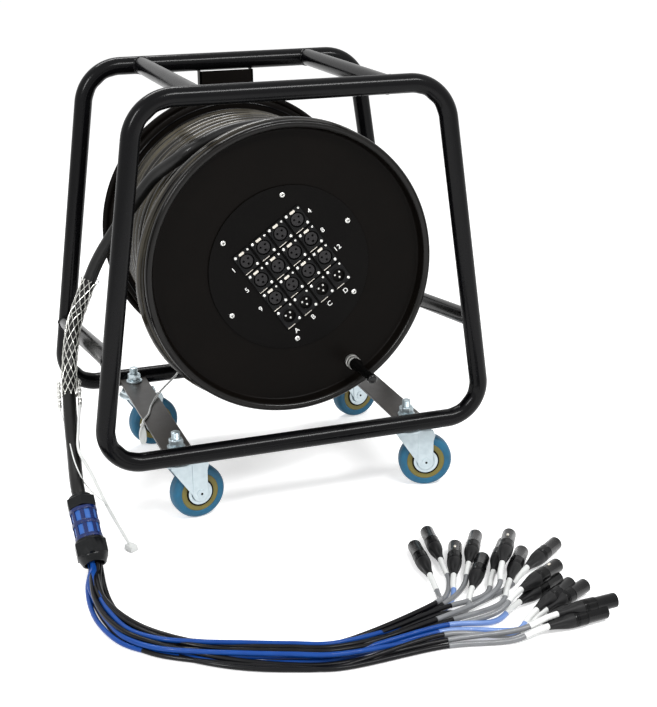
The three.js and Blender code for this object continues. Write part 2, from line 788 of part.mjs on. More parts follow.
// The cable layers beneath are a plain core. A ramp on it meets each end of a winding, where the cable
// comes up from the layer beneath.
const chordRise = frontLayerRadius * (1 - Math.cos(Math.PI / turnSteps));
const coreSeat = cableRadius + turnGap + chordRise;
const coreInner = barrelRadius + 3 * seatGap;
const coreOutline = [
  [coreInner, frontPlateInner + seatGap],
  [tightRadius(frontPlateInner) - coreSeat, frontPlateInner + seatGap],
  [tightRadius(frontEndY + cableRadius) - coreSeat, frontEndY + cableRadius],
  [rearLayerRadius - coreSeat, frontEndY + cableRadius],
  [rearLayerRadius - coreSeat, rearPlateInner - seatGap],
  [coreInner, rearPlateInner - seatGap],
];
function windingRamp(points, atEnd) {
  const tip = atEnd ? points[points.length - 1] : points[0];
  const next = atEnd ? points[points.length - 2] : points[1];
  const way = new THREE.Vector3().subVectors(tip, next).normalize();
  const out = new THREE.Vector3().crossVectors(axisY, way);
  if (out.dot(point(tip.x, 0, tip.z - axisHeight)) < 0) out.negate();
  const across = new THREE.Vector3().crossVectors(way, out);
  const outline = new THREE.Shape();
  outline.moveTo(seatGap, -cableDiameter);
  outline.lineTo(seatGap, rampReach);
  outline.lineTo(rampLength * rampTopShare, rampReach);
  outline.lineTo(rampLength, -cableRadius);
  outline.lineTo(rampLength, -cableDiameter);
  const wedge = new THREE.ExtrudeGeometry(outline, { depth: 2 * rampReach, bevelEnabled: false });
  wedge.translate(0, 0, -rampReach);
  const basis = new THREE.Matrix4().makeBasis(way, out, across);
  basis.setPosition(tip);
  return solid(wedge, basis);
}
const core = joined([
  solid(turnedPiece(coreOutline, rimSides), drumAxis),
  windingRamp(rearWinding, false),
  windingRamp(rearWinding, true),
  windingRamp(frontWinding, false),
  windingRamp(frontWinding, true),
]);
place("wound_cable_core", geometryOf(core), cableJacket);

// Crank: a bolt through the front flange with a collar, and a grip that turns on it.
const collarFront = crankFace - crankCollarHeight;
const gripBack = collarFront - seatGap;
const gripFront = gripBack - gripLength;
const crankBoltOutline = [
  [0, gripFront - crankBoltHeadHeight],
  [crankBoltHeadDiameter / 2, gripFront - crankBoltHeadHeight],
  [crankBoltHeadDiameter / 2, gripFront - seatGap],
  [crankBoltDiameter / 2, gripFront - seatGap],
  [crankBoltDiameter / 2, collarFront],
  [crankCollarDiameter / 2, collarFront],
  [crankCollarDiameter / 2, crankFace],
  [crankBoltDiameter / 2, crankFace],
  [crankBoltDiameter / 2, frontPlateInner],
  [0, frontPlateInner],
];
place("crank_bolt", turnedPiece(crankBoltOutline, holeSides), zinc).position.set(crankX, 0, crankZ);
const gripBore = crankBoltDiameter / 2 + seatGap;
const gripOutline = [
  [gripBore, gripFront],
  [gripTipDiameter / 2 - gripTipRounding, gripFront],
  [gripTipDiameter / 2, gripFront + gripTipRounding],
  [gripTipDiameter / 2, gripFront + gripLength / 2],
  [gripBaseDiameter / 2, gripBack - gripLength * gripShoulderShare],
  [gripBaseDiameter / 2, gripBack],
  [gripBore, gripBack],
];
place("crank_grip", turnedPiece(gripOutline, roundSides), blackPlastic).position.set(crankX, 0, crankZ);

// Panel. Its own frame has x along a row, z up a column, and is turned with the drum.
const panelFrame = new THREE.Group();
panelFrame.position.set(0, 0, axisHeight);
panelFrame.rotation.y = -panelTurn * degree;
nodes.add(panelFrame);
function placeOnPanel(name, geometry, material) {
  const mesh = place(name, geometry, material);
  panelFrame.add(mesh);
  return mesh;
}
const columns = gridShares.map((share) => gridOffsetRight + share * columnPitch);
const rows = gridShares.map((share) => gridOffsetUp - share * rowPitch);
const sites = [];
rows.forEach((z, row) => columns.forEach((x, column) => sites.push({ x, z, row, column })));
const females = sites.filter(({ row }) => row < 3);
const males = sites.filter(({ row }) => row === 3);

const latchSlot = (x, z, from, to, slack) => {
  const box = new THREE.BoxGeometry(latchWidth + 2 * slack, to - from, latchHeight + 2 * slack);
  return solid(box, moved(x, (from + to) / 2, z + latchOffset));
};
const panelBack = panelFront + panelThickness;
let panel = solid(turnedPiece(disc(panelDiameter / 2, panelFront, panelBack), barrelSides));
for (const { x, z } of sites) {
  const holeOutline = disc(plateHoleDiameter / 2, panelFront - overrun, panelBack + overrun);
  const hole = turnedPiece(holeOutline, holeSides);
  panel = panel.subtract(solid(hole, moved(x, 0, z)));
}
for (const { x, z } of females) {
  panel = panel.subtract(latchSlot(x, z, panelFront - overrun, panelBack + overrun, 2 * seatGap));
}
for (let k = 0; k < panelScrewCount; k++) {
  const headFront = panelFront - panelScrewHeight;
  const head = turnedPiece(disc(panelScrewDiameter / 2, headFront, panelFront + seatGap), turnSides);
  const angle = ((2 * Math.PI) / panelScrewCount) * k;
  const radius = panelScrewCircle / 2;
  panel = panel.add(solid(head, moved(radius * Math.cos(angle), 0, radius * Math.sin(angle))));
}
placeOnPanel("connector_panel", geometryOf(panel), blackSheet);

// The twelve female receptacles: each flange with its body, all seated on one earth plate behind the panel.
const plateBack = plateFront + plateThickness;
const bodyBack = plateBack + bodyDepth;
const receptaclePlate = () => solid(new THREE.BoxGeometry(plateWidth, plateThickness, plateHeight),
  moved(0, (plateFront + plateBack) / 2, 0));
function femaleReceptacle() {
  const bodyOutline = disc(bodyDiameter / 2, plateFront + seatGap, bodyBack);
  const deep = panelBack + latchTravel;
  return receptaclePlate()
    .add(solid(turnedPiece(bodyOutline, holeSides)))
    .subtract(latchSlot(0, 0, plateFront - overrun, deep + overrun, seatGap));
}
const female = femaleReceptacle();
const earthWidth = 3 * columnPitch + plateWidth + 2 * earthPlateMargin;
const earthHeight = 2 * rowPitch + plateHeight + 2 * earthPlateMargin;
const earthPlate = solid(new THREE.BoxGeometry(earthWidth, earthPlateThickness, earthHeight),
  moved(gridOffsetRight, bodyBack - earthPlateThickness / 2 + seatGap, gridOffsetUp + rowPitch / 2));
const femaleBlock = joined([earthPlate, ...females.map(({ x, z }) => female.translate([x, 0, z]))]);
placeOnPanel("female_receptacles", geometryOf(femaleBlock), blackPlastic);

const latchFront = plateFront - latchProud;
females.forEach(({ x, z }, i) => {
  const latch = new THREE.BoxGeometry(latchWidth, latchDepth, latchHeight);
  const mesh = placeOnPanel("push_latch_" + (i + 1), latch, silverTab);
  mesh.position.set(x, latchFront + latchDepth / 2, z + latchOffset);
});

// A male receptacle is a cup with three pins.
function maleReceptacle() {
  const cup = turnedPiece(disc(cupDiameter / 2, plateFront - overrun, plateFront + cupDepth), holeSides);
  let body = receptaclePlate()
    .add(solid(turnedPiece(disc(bodyDiameter / 2, plateFront + seatGap, bodyBack), holeSides)))
    .subtract(solid(cup));
  for (const angle of pinAngles) {
    const pinFront = plateFront + cupDepth - pinLength;
    const pin = turnedPiece(disc(pinDiameter / 2, pinFront, plateFront + cupDepth + seatGap), turnSides);
    const arm = point(pinCircleDiameter / 2, 0, 0).applyAxisAngle(axisY, -angle * degree);
    body = body.add(solid(pin, moved(arm.x, arm.y, arm.z)));
  }
  return body;
}
const male = maleReceptacle();
males.forEach(({ x, z }, i) => {
  placeOnPanel("male_receptacle_" + "abcd"[i], geometryOf(male), blackPlastic).position.set(x, 0, z);
});

// The cable that leaves the drum lies one turn in its lane, climbs over the rear turns, hangs over the left
// side tube and ends in the gland, whose lower nut rests on the floor.
const lanePoints = [];
for (let i = 0; i <= laneSteps; i++) {
  const angle = laneStartAngle + ((laneEndAngle - laneStartAngle) * i) / laneSteps;
  lanePoints.push(ringPoint(rearLayerRadius, angle, laneY));
}
for (let i = 1; i <= climbSteps; i++) {
  const angle = laneEndAngle + ((climbEndAngle - laneEndAngle) * i) / climbSteps;
  const rise = (i / climbSteps) * climbRiseAngle * degree;
  const overLayer = cableDiameter + turnGap + (i / climbSteps) * climbSlack;
  const radius = rearLayerRadius + overLayer * Math.sin(rise);
  lanePoints.push(ringPoint(radius, angle, rearStartY - overLayer * Math.cos(rise)));
}
const glandTop = point(...glandTopPlace);
const glandMouth = point(...glandMouthPlace);
const glandWay = new THREE.Vector3().subVectors(glandMouth, glandTop).normalize();
const hangPoints = hangRoute.map((at) => point(...at));
hangPoints.push(glandTop.clone().addScaledVector(glandWay, -cableDiameter));
const tailEnd = glandTop.clone().addScaledVector(glandWay, glandNutUpperLength / 2);
const tailPoints = [...lanePoints, ...hangPoints, tailEnd];
place("cable_tail", sweep(tailPoints, cableRadius, cordSides), cableJacket);

// The wire mesh grip is a sleeve round the cable. Its two ferrules hold the wire legs and the clear strap.
const sleeveInner = cableRadius + gripLayGap;
const sleeveOuter = sleeveInner + gripLayThickness;
const sleevePoints = hangPoints.slice(sleeveStartStep, sleeveEndStep + 1);
const sleeve = solid(sweep(sleevePoints, sleeveOuter, cordSides, sleeveInner));
const ferruleMiddle = hangPoints[ferruleStep];
const ferruleWay = hangPoints[ferruleStep + 1].clone().sub(ferruleMiddle).normalize();
const ferruleReach = sleeveInner + ferruleDiameter / 2;
const ferrules = [-1, 1].map((sign) => {
  const middle = ferruleMiddle.clone().add(point(sign * ferruleReach, 0, 0));
  const top = middle.clone().addScaledVector(ferruleWay, -ferruleLength / 2);
  const foot = middle.clone().addScaledVector(ferruleWay, ferruleLength / 2);
  return solid(straightTube(top, foot, ferruleDiameter / 2, cordSides));
});
const legStart = ferruleMiddle.clone().add(point(ferruleReach, 0, 0));
legStart.addScaledVector(ferruleWay, ferruleLength * legStartShare);
const legPoints = [legStart, ...wireLegRoute.map((at) => point(...at))];
const legs = solid(sweep(legPoints, wireLegDiameter / 2, cordSides));
const legEnd = legPoints[legPoints.length - 1];
const strapEnd = new THREE.BoxGeometry(strapEndWidth, strapEndDepth, strapEndHeight);
const strap = solid(strapEnd, moved(legEnd.x, legEnd.y, strapEndHeight / 2 + seatGap));
place("mesh_grip", geometryOf(joined([sleeve, ...ferrules, legs, strap])), steelWire);

// Gland: two hex nuts on a round translucent body, along the cable's last direction.
const glandFrame = new THREE.Group();
glandFrame.position.copy(tailEnd);
glandFrame.quaternion.setFromUnitVectors(axisZ, glandWay);
nodes.add(glandFrame);
function placeOnGland(name, body, material) {
  const mesh = place(name, geometryOf(body), material);
  glandFrame.add(mesh);
}
const cableHole = cableRadius + gripLayGap;
function bored(body, radius, from, to) {
  return body.subtract(solid(turnedUpright(disc(radius, from, to), roundSides)));
}
const upperNutFrom = -glandNutUpperLength / 2;
const upperNutTo = upperNutFrom + glandNutUpperLength;
const bodyFrom = upperNutTo + seatGap;
const bodyTo = bodyFrom + glandBodyLength;
const lowerFrom = bodyTo + seatGap;
const lowerTo = lowerFrom + glandNutLowerLength;
function hexNut(flats, from, to) {
  const nut = new THREE.ExtrudeGeometry(hexOutline(flats), { depth: to - from, bevelEnabled: false });
  return solid(nut, moved(0, 0, from));
}
placeOnGland("gland_nut_upper",
  bored(hexNut(glandNutUpperFlats, upperNutFrom, upperNutTo), cableHole, upperNutFrom - overrun, seatGap),
  blackPlastic);
placeOnGland("gland_body",
  solid(turnedUpright(disc(glandBodyDiameter / 2, bodyFrom, bodyTo), roundSides)), blueGland);
const mouthRadius = bundleDiameter / 2 + seatGap;
const lowerNut = hexNut(glandNutLowerFlats, lowerFrom, lowerTo);
placeOnGland("gland_nut_lower",
  bored(lowerNut, mouthRadius, lowerTo - glandMouthDepth, lowerTo + overrun), blackPlastic);

// The leads leave the gland as one bundle. It flattens where they spread, each to its plug on the floor.
const bundleStart = tailEnd.clone().addScaledVector(glandWay, lowerTo - glandMouthDepth + seatGap);
const bundlePoints = [
  bundleStart,
  bundleStart.clone().addScaledVector(glandWay, bundleDiameter / 2),
  ...bundleRoute.map((at) => point(...at)),
];
const fanOut = [solid(sweep(bundlePoints, bundleDiameter / 2, cordSides))];
const fanMiddle = bundlePoints[bundlePoints.length - 1];
const fanEdge = [];
for (const [i, [x, y, z, heading]] of plugPlaces.entries()) {
  const way = point(Math.cos(heading * degree), Math.sin(heading * degree), 0);
  const boot = point(x, y, z).addScaledVector(way, -plugShellLength - plugBootLength);
  const settle = new THREE.Matrix4().makeRotationZ((heading - 90) * degree);
  settle.setPosition(boot);
  const outline = [
    [0, 0],
    [plugBootEndDiameter / 2, 0],
    [plugDiameter / 2, plugBootLength],
    [plugDiameter / 2, plugBootLength + plugShellLength],
    [0, plugBootLength + plugShellLength],
  ];
  fanOut.push(solid(turnedPiece(outline, cordSides), settle));
  const outward = boot.clone().sub(fanMiddle).setZ(0).normalize();
  const start = fanMiddle.clone().addScaledVector(outward, fanRadius - leadDiameter);
  start.setZ(fanLayers[i % fanLayers.length]);
  const end = boot.addScaledVector(way, leadDiameter);
  fanOut.push(solid(straightTube(start, end, leadDiameter / 2, cordSides)));
  fanEdge.push(fanMiddle.clone().addScaledVector(outward, fanRadius));
}
const neck = [1, -1].map((sign) =>
  fanMiddle.clone().add(point(-leadDiameter, (sign * bundleDiameter) / 2, 0)));
fanEdge.sort((a, b) => a.y - b.y);
const fanOutline = new THREE.Shape([...neck, ...fanEdge].map(({ x, y }) => new THREE.Vector2(x, y)));
const fanWeb = new THREE.ExtrudeGeometry(fanOutline, { depth: bundleDiameter / 2, bevelEnabled: false });
fanOut.push(solid(fanWeb, moved(0, 0, seatGap)));
place("fanout_leads", geometryOf(joined(fanOut)), cableJacket);

// A thin translucent tie cord lies over the rear loop and the left caster bar, with its knotted loop below.
const tieCord = solid(sweep(tieRoute.map((at) => point(...at)), tieCordDiameter / 2, cordSides));
const tieLoop = solid(sweep(tieLoopRoute.map((at) => point(...at)), tieLoopDiameter / 2, cordSides));
place("tie_cord", geometryOf(joined([tieCord, tieLoop])), clearPlastic);

const stageBoxSnake = new THREE.Group();
stageBoxSnake.name = "stage_box_snake";
nodes.position.y = -middleY;
stageBoxSnake.add(nodes);

export default stageBoxSnake;
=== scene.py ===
# Stage box snake: a drum of multicore cable that turns in a tubular frame on four casters.
# Lengths are millimetres and angles degrees. +Z is up, the front is towards -Y, and y = 0 is the plane of
# the frame's front loop. Every piece is brought to the scene's metres where it is made.

import json
import math
import random

import bmesh
import bpy
from mathutils import Matrix, Vector
from mathutils.geometry import tessellate_polygon


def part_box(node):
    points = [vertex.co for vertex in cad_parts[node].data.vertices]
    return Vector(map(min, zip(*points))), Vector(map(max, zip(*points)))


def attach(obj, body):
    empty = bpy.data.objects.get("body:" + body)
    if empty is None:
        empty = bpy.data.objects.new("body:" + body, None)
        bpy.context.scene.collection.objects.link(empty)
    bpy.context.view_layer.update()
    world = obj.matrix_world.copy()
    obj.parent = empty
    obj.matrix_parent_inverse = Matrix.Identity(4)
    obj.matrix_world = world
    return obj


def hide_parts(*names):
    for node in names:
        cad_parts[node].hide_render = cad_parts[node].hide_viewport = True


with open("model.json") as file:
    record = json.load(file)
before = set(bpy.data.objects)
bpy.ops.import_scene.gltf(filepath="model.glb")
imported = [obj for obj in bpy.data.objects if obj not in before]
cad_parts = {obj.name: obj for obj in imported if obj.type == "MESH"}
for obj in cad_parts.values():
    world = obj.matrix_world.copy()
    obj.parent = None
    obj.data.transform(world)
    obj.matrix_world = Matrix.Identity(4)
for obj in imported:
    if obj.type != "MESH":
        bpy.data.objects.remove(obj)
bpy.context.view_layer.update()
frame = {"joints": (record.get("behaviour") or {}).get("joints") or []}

# Places that the frame gives
MM = 0.001
joints = {joint["name"]: joint for joint in frame["joints"]}
loop_low, loop_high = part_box("front_loop")
front_loop_y = (loop_low.y + loop_high.y) / 2
axis_height = joints["drum_spin"]["pos_m"][2] / MM
crank_x = joints["crank_spin"]["pos_m"][0] / MM
crank_z = joints["crank_spin"]["pos_m"][2] / MM

# The gap between pieces that sit on each other
seat_gap = 0.3

# Frame sizes
tube_diameter = 25
loop_spacing = 326
loop_top_width = 404
loop_bottom_width = 540
bottom_bar_height = 103.5
loop_height = 467
top_bend_radius = 56
bottom_bend_radius = 47
top_tube_spacing = 248
side_tube_front_height = 245.5
side_tube_rear_height = 201.5
caster_bar_width = 40
caster_bar_thickness = 4
caster_bar_spacing = 331
stud_inset = 28
weld_width = 3.2
weld_clearance = 0.1
crease_depth = 1.2
upright_width = 80
upright_thickness = 3
upright_return = 15
upright_opening = 50.6

# Each side of the loops' bottom is drawn in by a trim. A cross tube is a little thinner than the loops' tube,
# and its coped rim stands off their surface.
loop_bottom_trim = 0.6
cross_tube_share = 0.94
cope_lift = 0.2

# Caster sizes
wheel_diameter = 75
tyre_width = 23
core_diameter = 53
core_width = 25
dark_ring_diameter = 38.5
cap_diameter = 34.5
axle_diameter = 8
caster_trail = 27
fork_thickness = 2.5
fork_inner = 13.7
fork_head_diameter = 48
fork_top = 89.5
fork_foot_radius = 11
race_ball_circle = 36.4
rivet_radius = 6.2
rivet_height = 0.9
caster_turns = {"front_left": 10, "front_right": -15, "rear_left": 10, "rear_right": 12}
stem_diameter = 12
stem_proud = 10
washer_diameter = 24
washer_thickness = 2.5
nut_flats = 19
nut_height = 10

# Drum sizes
flange_diameter = 392
roll_diameter = 10
roll_front = 25.5
drum_length = 286.5
dish_depth = 10.8
dish_wall = 4
sheet = 2
opening_diameter = 176
barrel_diameter = 200
hub_diameter = 90
shaft_diameter = 25
shaft_sink = 8
shaft_end = 332.5
shaft_nut_front = 328.6
hub_depth = 6.3
hub_step = 6.6
rear_flange_bore = 25.6
flange_segments = 192
roll_start, roll_turn = 200, 290
polished_start, polished_turn = 195, 200
bead_radii = (170.5, 179.5)
barrel_wall = 3
barrel_front = 39
barrel_rear = 298.6

# Section of the bearing block, as radius and y, with the corners that are rounded marked
block_section = [
    (12.8, 308.1), (25, 308.1, True), (25, 320.3), (36, 320.3, True), (36, 325.3, True), (17, 325.3, True),
    (16, 324, True), (12.8, 324)]

# Cable sizes
cable_diameter = 18
turn_pitch = 18.4
rear_layer_radius = 164
front_layer_radius = 188
front_layer_fall = 6
front_turns = 2
front_start_angle = 60
slack_swell = 9
slack_angle = -150
turn_gap = 0.45
lane_start_angle = 150
lane_end_angle = 405
climb_end_angle = 486
climb_rise_angle = 67.5
climb_slack = 4
lane_steps = 16
climb_steps = 5
core_section = [(101, 40), (160, 40), (160, 92), (140, 98), (140, 298), (101, 298)]

# Crank sizes
collar_diameter = 19
collar_height = 15
grip_base_diameter = 17
grip_tip_diameter = 13
grip_length = 66

# Panel sizes
panel_turn = 35
panel_diameter = 221
panel_thickness = 2
screw_circle = 198
panel_screw_diameter = 7.5
column_pitch = 28.4
row_pitch = 32.8
grid_right = 3
grid_up = -2
plate_width = 26
plate_height = 31
plate_thickness = 2.4
face_diameter = 21.4
insert_diameter = 17
cup_depth = 12
pin_circle = 8.6
latch_offset = 12.5
latch_width = 8
latch_height = 3.6
latch_proud = 1.6
latch_slot = 9
ring_width = 1.9
male_hole_diameter = 18.4
label_size = 9.4
label_places = (
    ("1", -60.3, 47.5), ("5", -62.6, 14.2), ("9", -63.6, -18.7), ("4", 65.5, 44.9), ("8", 64.7, 12.2),
    ("12", 66.5, -21), ("A", -43.3, -75.9), ("B", -14.8, -76.2), ("C", 13.6, -76.5), ("D", 41.4, -76.5),
)

# Cable end sizes
sleeve_inner = 10.1
ferrule_diameter = 6
gland_upper_flats = 34
gland_upper_length = 14
gland_body_diameter = 35
gland_body_length = 42
gland_lower_flats = 38
gland_lower_length = 32
lead_diameter = 6
plug_diameter = 19
shell_length = 46
boot_length = 32
boot_end_diameter = 9
tie_width = 3
strap_diameter = 3.8
second_leg_diameter = 1.6
film_half_width = 3.0
film_span = (0.42, 0.96)
lead_waver = 2.3

# Routes of the cords, as points along each
gland_top = (-305, -32, 78.5)
gland_mouth = (-302.3, -98, 19.5)
hang_route = [
    (-126.2, 125, 469),
    (-148.9, 149, 446.2),
    (-172, 162, 415),
    (-208.3, 168, 365),
    (-229.6, 176, 328.7),
    (-246.5, 180, 290.5),
    (-260.8, 173, 262),
    (-271.8, 154.5, 243.9),
    (-280, 135, 219),
    (-286.5, 117, 194.3),
    (-291.5, 95, 171.5),
    (-296, 67, 146.5),
    (-299.5, 36, 121),
]
wire_leg_route = [
    (-290, 45, 143),
    (-296, 11, 126.5),
    (-284, -2, 98),
    (-269.6, -18, 58),
    (-254.9, -32, 24.4),
    (-246.7, -38, 7),
]
bundle_route = [
    (-309, -132, 13.3),
    (-310.5, -172, 13.3),
    (-304, -216, 13.3),
    (-288, -258, 13.3),
    (-262, -288, 13.3),
    (-228, -313, 13.3),
    (-183, -338, 13.3),
    (-133, -360, 13.3),
    (-88, -375, 13.3),
]
tie_route = [
    (-80, 326, 117.6),
    (-101, 290, 112.5),
    (-144, 225, 109.5),
    (-163, 189, 107.1),
    (-176, 152, 107.1),
    (-188, 130, 107.4),
]
tie_loop_route = [
    (-191, 122, 104.5),
    (-193, 113, 79),
]

# Each plug: where its tip lies, its height, and its heading
plug_places = [
    (93, -174, 10, 81),
    (124, -143, 10, 79),
    (142, -192, 10, 64),
    (179, -175, 10, 58),
    (160, -235, 10, 55),
    (203, -208, 10, 54),
    (206, -216, 26, 57),
    (214, -236, 10, 52),
    (265, -231, 10, 35),
    (225, -307, 24, 29),
    (223, -313, 10, 27),
    (226, -337, 14, 32),
    (244, -341, 10, 26),
    (252, -396, 18, 4),
    (235, -385, 10, 8),
    (236, -402.5, 10, 5.5),
]
latched_plugs = (2, 6, 9, 10)

# The leads are ranked by where they end, the lowest plug first. The blue ones and the ones that start out of
# their rank's order are listed, and the line on the floor where the leads fan out is given by its two ends.
blue_ranks = (3, 4, 5, 12)
early_slots = {4: 0, 3: 2, 5: 4, 12: 6}
low_rank = 2
fan_gate = ((38, -402), (70, -305))

# At each point of the bundle's route, the factor on the leads' spacing and how far the lowest lead dips out
# of the bundle. The leads keep their order at the mouth up to the point that reorder_from counts.
bundle_spread = (0.56, 0.56, 0.66, 0.88, 1.05, 1.1, 1.15, 1.15, 1.2)
low_dip = (0, 0, 0, 0, 0, 4, 10, 12.5, 9)
reorder_from = 2.2

# Places that follow from the sizes
tube_radius = tube_diameter / 2
cable_radius = cable_diameter / 2
top_bar_height = bottom_bar_height + loop_height
weld_top = top_bar_height + tube_radius - weld_clearance
roll_rear = roll_front + drum_length
front_plate = roll_front + dish_depth
rear_plate = roll_rear - dish_depth
panel_front = front_plate - seat_gap - panel_thickness
plate_front = panel_front - seat_gap - plate_thickness
wheel_radius = wheel_diameter / 2
first_turn_y = front_plate + sheet + turn_gap + cable_radius
front_end_y = first_turn_y + front_turns * turn_pitch
lane_y = front_end_y + cable_diameter + turn_gap
rear_start_y = lane_y + turn_pitch
rear_end_y = rear_plate - sheet - turn_gap - cable_radius
rear_turns = (rear_end_y - rear_start_y) / turn_pitch
crank_face = front_plate - seat_gap
upright_front = roll_rear + roll_diameter / 2 + 2 * seat_gap
upright_bottom = bottom_bar_height + tube_radius + seat_gap
upright_top = top_bar_height - tube_radius - seat_gap

# The turns beneath the outer layer, as radius, from y, to y and the fall of the radius in each turn
beneath_layers = ((170, first_turn_y, front_end_y + 2, 4), (146, lane_y, rear_end_y, 0))


# Camera, at the photograph's place and angle
camera_place = (-519.6, -1589.8, 804.2)
camera_yaw = 19.41
camera_down = 19.1
camera_roll = -0.556
camera_lens = 68.25


def settle(place):
    """A place in millimetres from the front loop's plane, as a place in the scene."""
    return Vector((place[0] * MM, place[1] * MM + front_loop_y, place[2] * MM))


def placed(name, data):
    """A new object in the scene."""
    thing = bpy.data.objects.new(name, data)
    bpy.context.scene.collection.objects.link(thing)
    return thing


def rotation(degrees, axis):
    return Matrix.Rotation(math.radians(degrees), 4, axis)


def make_camera():
    camera = placed("camera", bpy.data.cameras.new("camera"))
    camera.location = settle(camera_place)
    aim = rotation(-camera_yaw, "Z")
    aim @= rotation(90 - camera_down, "X")
    aim @= rotation(camera_roll, "Z")
    camera.rotation_euler = aim.to_euler()
    camera.data.lens = camera_lens
    camera.data.clip_end = 50
    bpy.context.scene.camera = camera


make_camera()


# Shapes are (points, faces) in millimetres, and the angles of these helpers are radians
def full_turn(count):
    """The angles of a number of even steps round a circle."""
    return [2 * math.pi * k / count for k in range(count)]


def polar(radius, angle):
    return radius * math.cos(angle), radius * math.sin(angle)


def round_axis(radius, angle, y):
    """A place at a radius and an angle about the Y axis."""
    return Vector((radius * math.cos(angle), y, radius * math.sin(angle)))


def band(low, high, sides):
    """The faces between two rings of points, each given by the number of its first point."""
    faces = []
    for k in range(sides):
        after = (k + 1) % sides
        faces.append([low + k, low + after, high + after, high + k])
    return faces


def mirrored(outline):
    """A half outline followed by its mirror image across y = 0."""
    return outline + [(radius, -y, *more) for radius, y, *more in reversed(outline)]


def join(*shapes):
    points, faces = [], []
    for shape_points, shape_faces in shapes:
        start = len(points)
        points += shape_points
        faces += [[start + i for i in face] for face in shape_faces]
    return points, faces


def moved(shape, place):
    """A shape moved by a place or turned and moved by a matrix."""
    matrix = place if isinstance(place, Matrix) else Matrix.Translation(place)
    return [matrix @ Vector(p) for p in shape[0]], shape[1]


def turned(outline, segments=64):
    """A shape turned about the Y axis from a list of (radius, y) that closes on itself or on the axis."""
    points, rings = [], []
    for radius, y in outline:
        ring = []
        for k in range(segments if radius > 0 else 1):
            points.append(round_axis(radius, 2 * math.pi * k / segments, y))
            ring.append(len(points) - 1)
        rings.append(ring)
    faces = []
    closed = outline[0][0] > 0 and outline[-1][0] > 0
    pairs = list(zip(rings, rings[1:])) + ([(rings[-1], rings[0])] if closed else [])
    for a, b in pairs:
        for k in range(segments):
            after = (k + 1) % segments
            if len(a) > 1 and len(b) > 1:
                faces.append([a[k], a[after], b[after], b[k]])
            elif len(a) > 1:
                faces.append([a[k], a[after], b[0]])
            elif len(b) > 1:
                faces.append([a[0], b[after], b[k]])
    return points, faces


def rounded(outline, radius):
    """An outline with the corners marked by a third item True rounded by a radius."""
    steps = 4
    made = []
    for i, corner in enumerate(outline):
        if len(corner) < 3:
            made.append(corner)
            continue
        here = Vector(corner[:2])
        back = Vector(outline[i - 1][:2]) - here
        ahead = Vector(outline[(i + 1) % len(outline)][:2]) - here
        reach = min(radius, back.length * 0.45, ahead.length * 0.45)
        start, end = here + back.normalized() * reach, here + ahead.normalized() * reach
        for k in range(steps + 1):
            t = k / steps
            made.append(tuple(start * (1 - t) ** 2 + here * 2 * t * (1 - t) + end * t * t))
    return made


def lathe(outline, radius, segments):
    """An outline with its marked corners rounded, turned about the Y axis."""
    return turned(rounded(outline, radius), segments)


def circle(radius, sides, centre=(0, 0)):
    return [(centre[0] + radius * math.cos(a), centre[1] + radius * math.sin(a)) for a in full_turn(sides)]


def rounded_box(width, height, radius, steps=4):
    """The outline of a rectangle with round corners."""
    made = []
    for quarter, (sx, sy) in enumerate([(1, 1), (-1, 1), (-1, -1), (1, -1)]):
        for k in range(steps + 1):
            angle = math.radians(90 * quarter + 90 * k / steps)
            made.append((
                sx * (width / 2 - radius) + radius * math.cos(angle),
                sy * (height / 2 - radius) + radius * math.sin(angle)))
    return made


def plate(outline, thickness, holes=(), edge=0.4):
    """A plate in the XZ plane, from y = 0 to its thickness, with bevelled rims and straight holes."""
    loops = [[Vector((x, z, 0)) for x, z in line] for line in (outline, *holes)]
    flat = [p for line in loops for p in line]
    triangles = tessellate_polygon(loops)
    middle = Vector((sum(p.x for p in loops[0]), sum(p.y for p in loops[0]), 0)) / len(loops[0])
    points, faces = [], []
    levels = [(0, edge), (edge, 0), (thickness - edge, 0), (thickness, edge)]
    for y, inset in levels:
        for i, line in enumerate(loops):
            for k, p in enumerate(line):
                before, after = line[k - 1], line[(k + 1) % len(line)]
                way = (after - before).normalized()
                side = Vector((way.y, -way.x, 0))
                inward = side if side.dot(middle - p) > 0 else -side
                if i:
                    hole_middle = sum(line, Vector()) / len(line)
                    inward = (p - hole_middle).normalized()
                shifted = p + inward * (inset if i == 0 else inset * 0.6)
                points.append(Vector((shifted.x, y, shifted.y)))
    count = len(flat)
    for a, b, c in triangles:
        faces.append([a, b, c])
        faces.append([3 * count + c, 3 * count + b, 3 * count + a])
    start = 0
    for line in loops:
        for level in range(3):
            faces += band(level * count + start, (level + 1) * count + start, len(line))
        start += len(line)
    return points, faces


def smooth_line(corners, step):
    """A smooth line through places, as points a step apart."""
    corners = [Vector(c) for c in corners]
    ends = [corners[0] * 2 - corners[1], *corners, corners[-1] * 2 - corners[-2]]
    fine = []
    for a, b, c, d in zip(ends, ends[1:], ends[2:], ends[3:]):
        knots = [0]
        for p, q in ((a, b), (b, c), (c, d)):
            knots.append(knots[-1] + max((q - p).length, 1e-6) ** 0.5)
        t0, t1, t2, t3 = knots
        count = max(2, math.ceil((c - b).length / (step * 0.25)))
        for k in range(count):
            t = t1 + (t2 - t1) * k / count
            p1 = a.lerp(b, (t - t0) / (t1 - t0))
            p2 = b.lerp(c, (t - t1) / (t2 - t1))
            p3 = c.lerp(d, (t - t2) / (t3 - t2))
            q1 = p1.lerp(p2, (t - t0) / (t2 - t0))
            q2 = p2.lerp(p3, (t - t1) / (t3 - t1))
            fine.append(q1.lerp(q2, (t - t1) / (t2 - t1)))
    fine.append(corners[-1])
    return part_of(fine, 0, length_of(fine), step)


def length_of(line):
    return sum((b - a).length for a, b in zip(line, line[1:]))


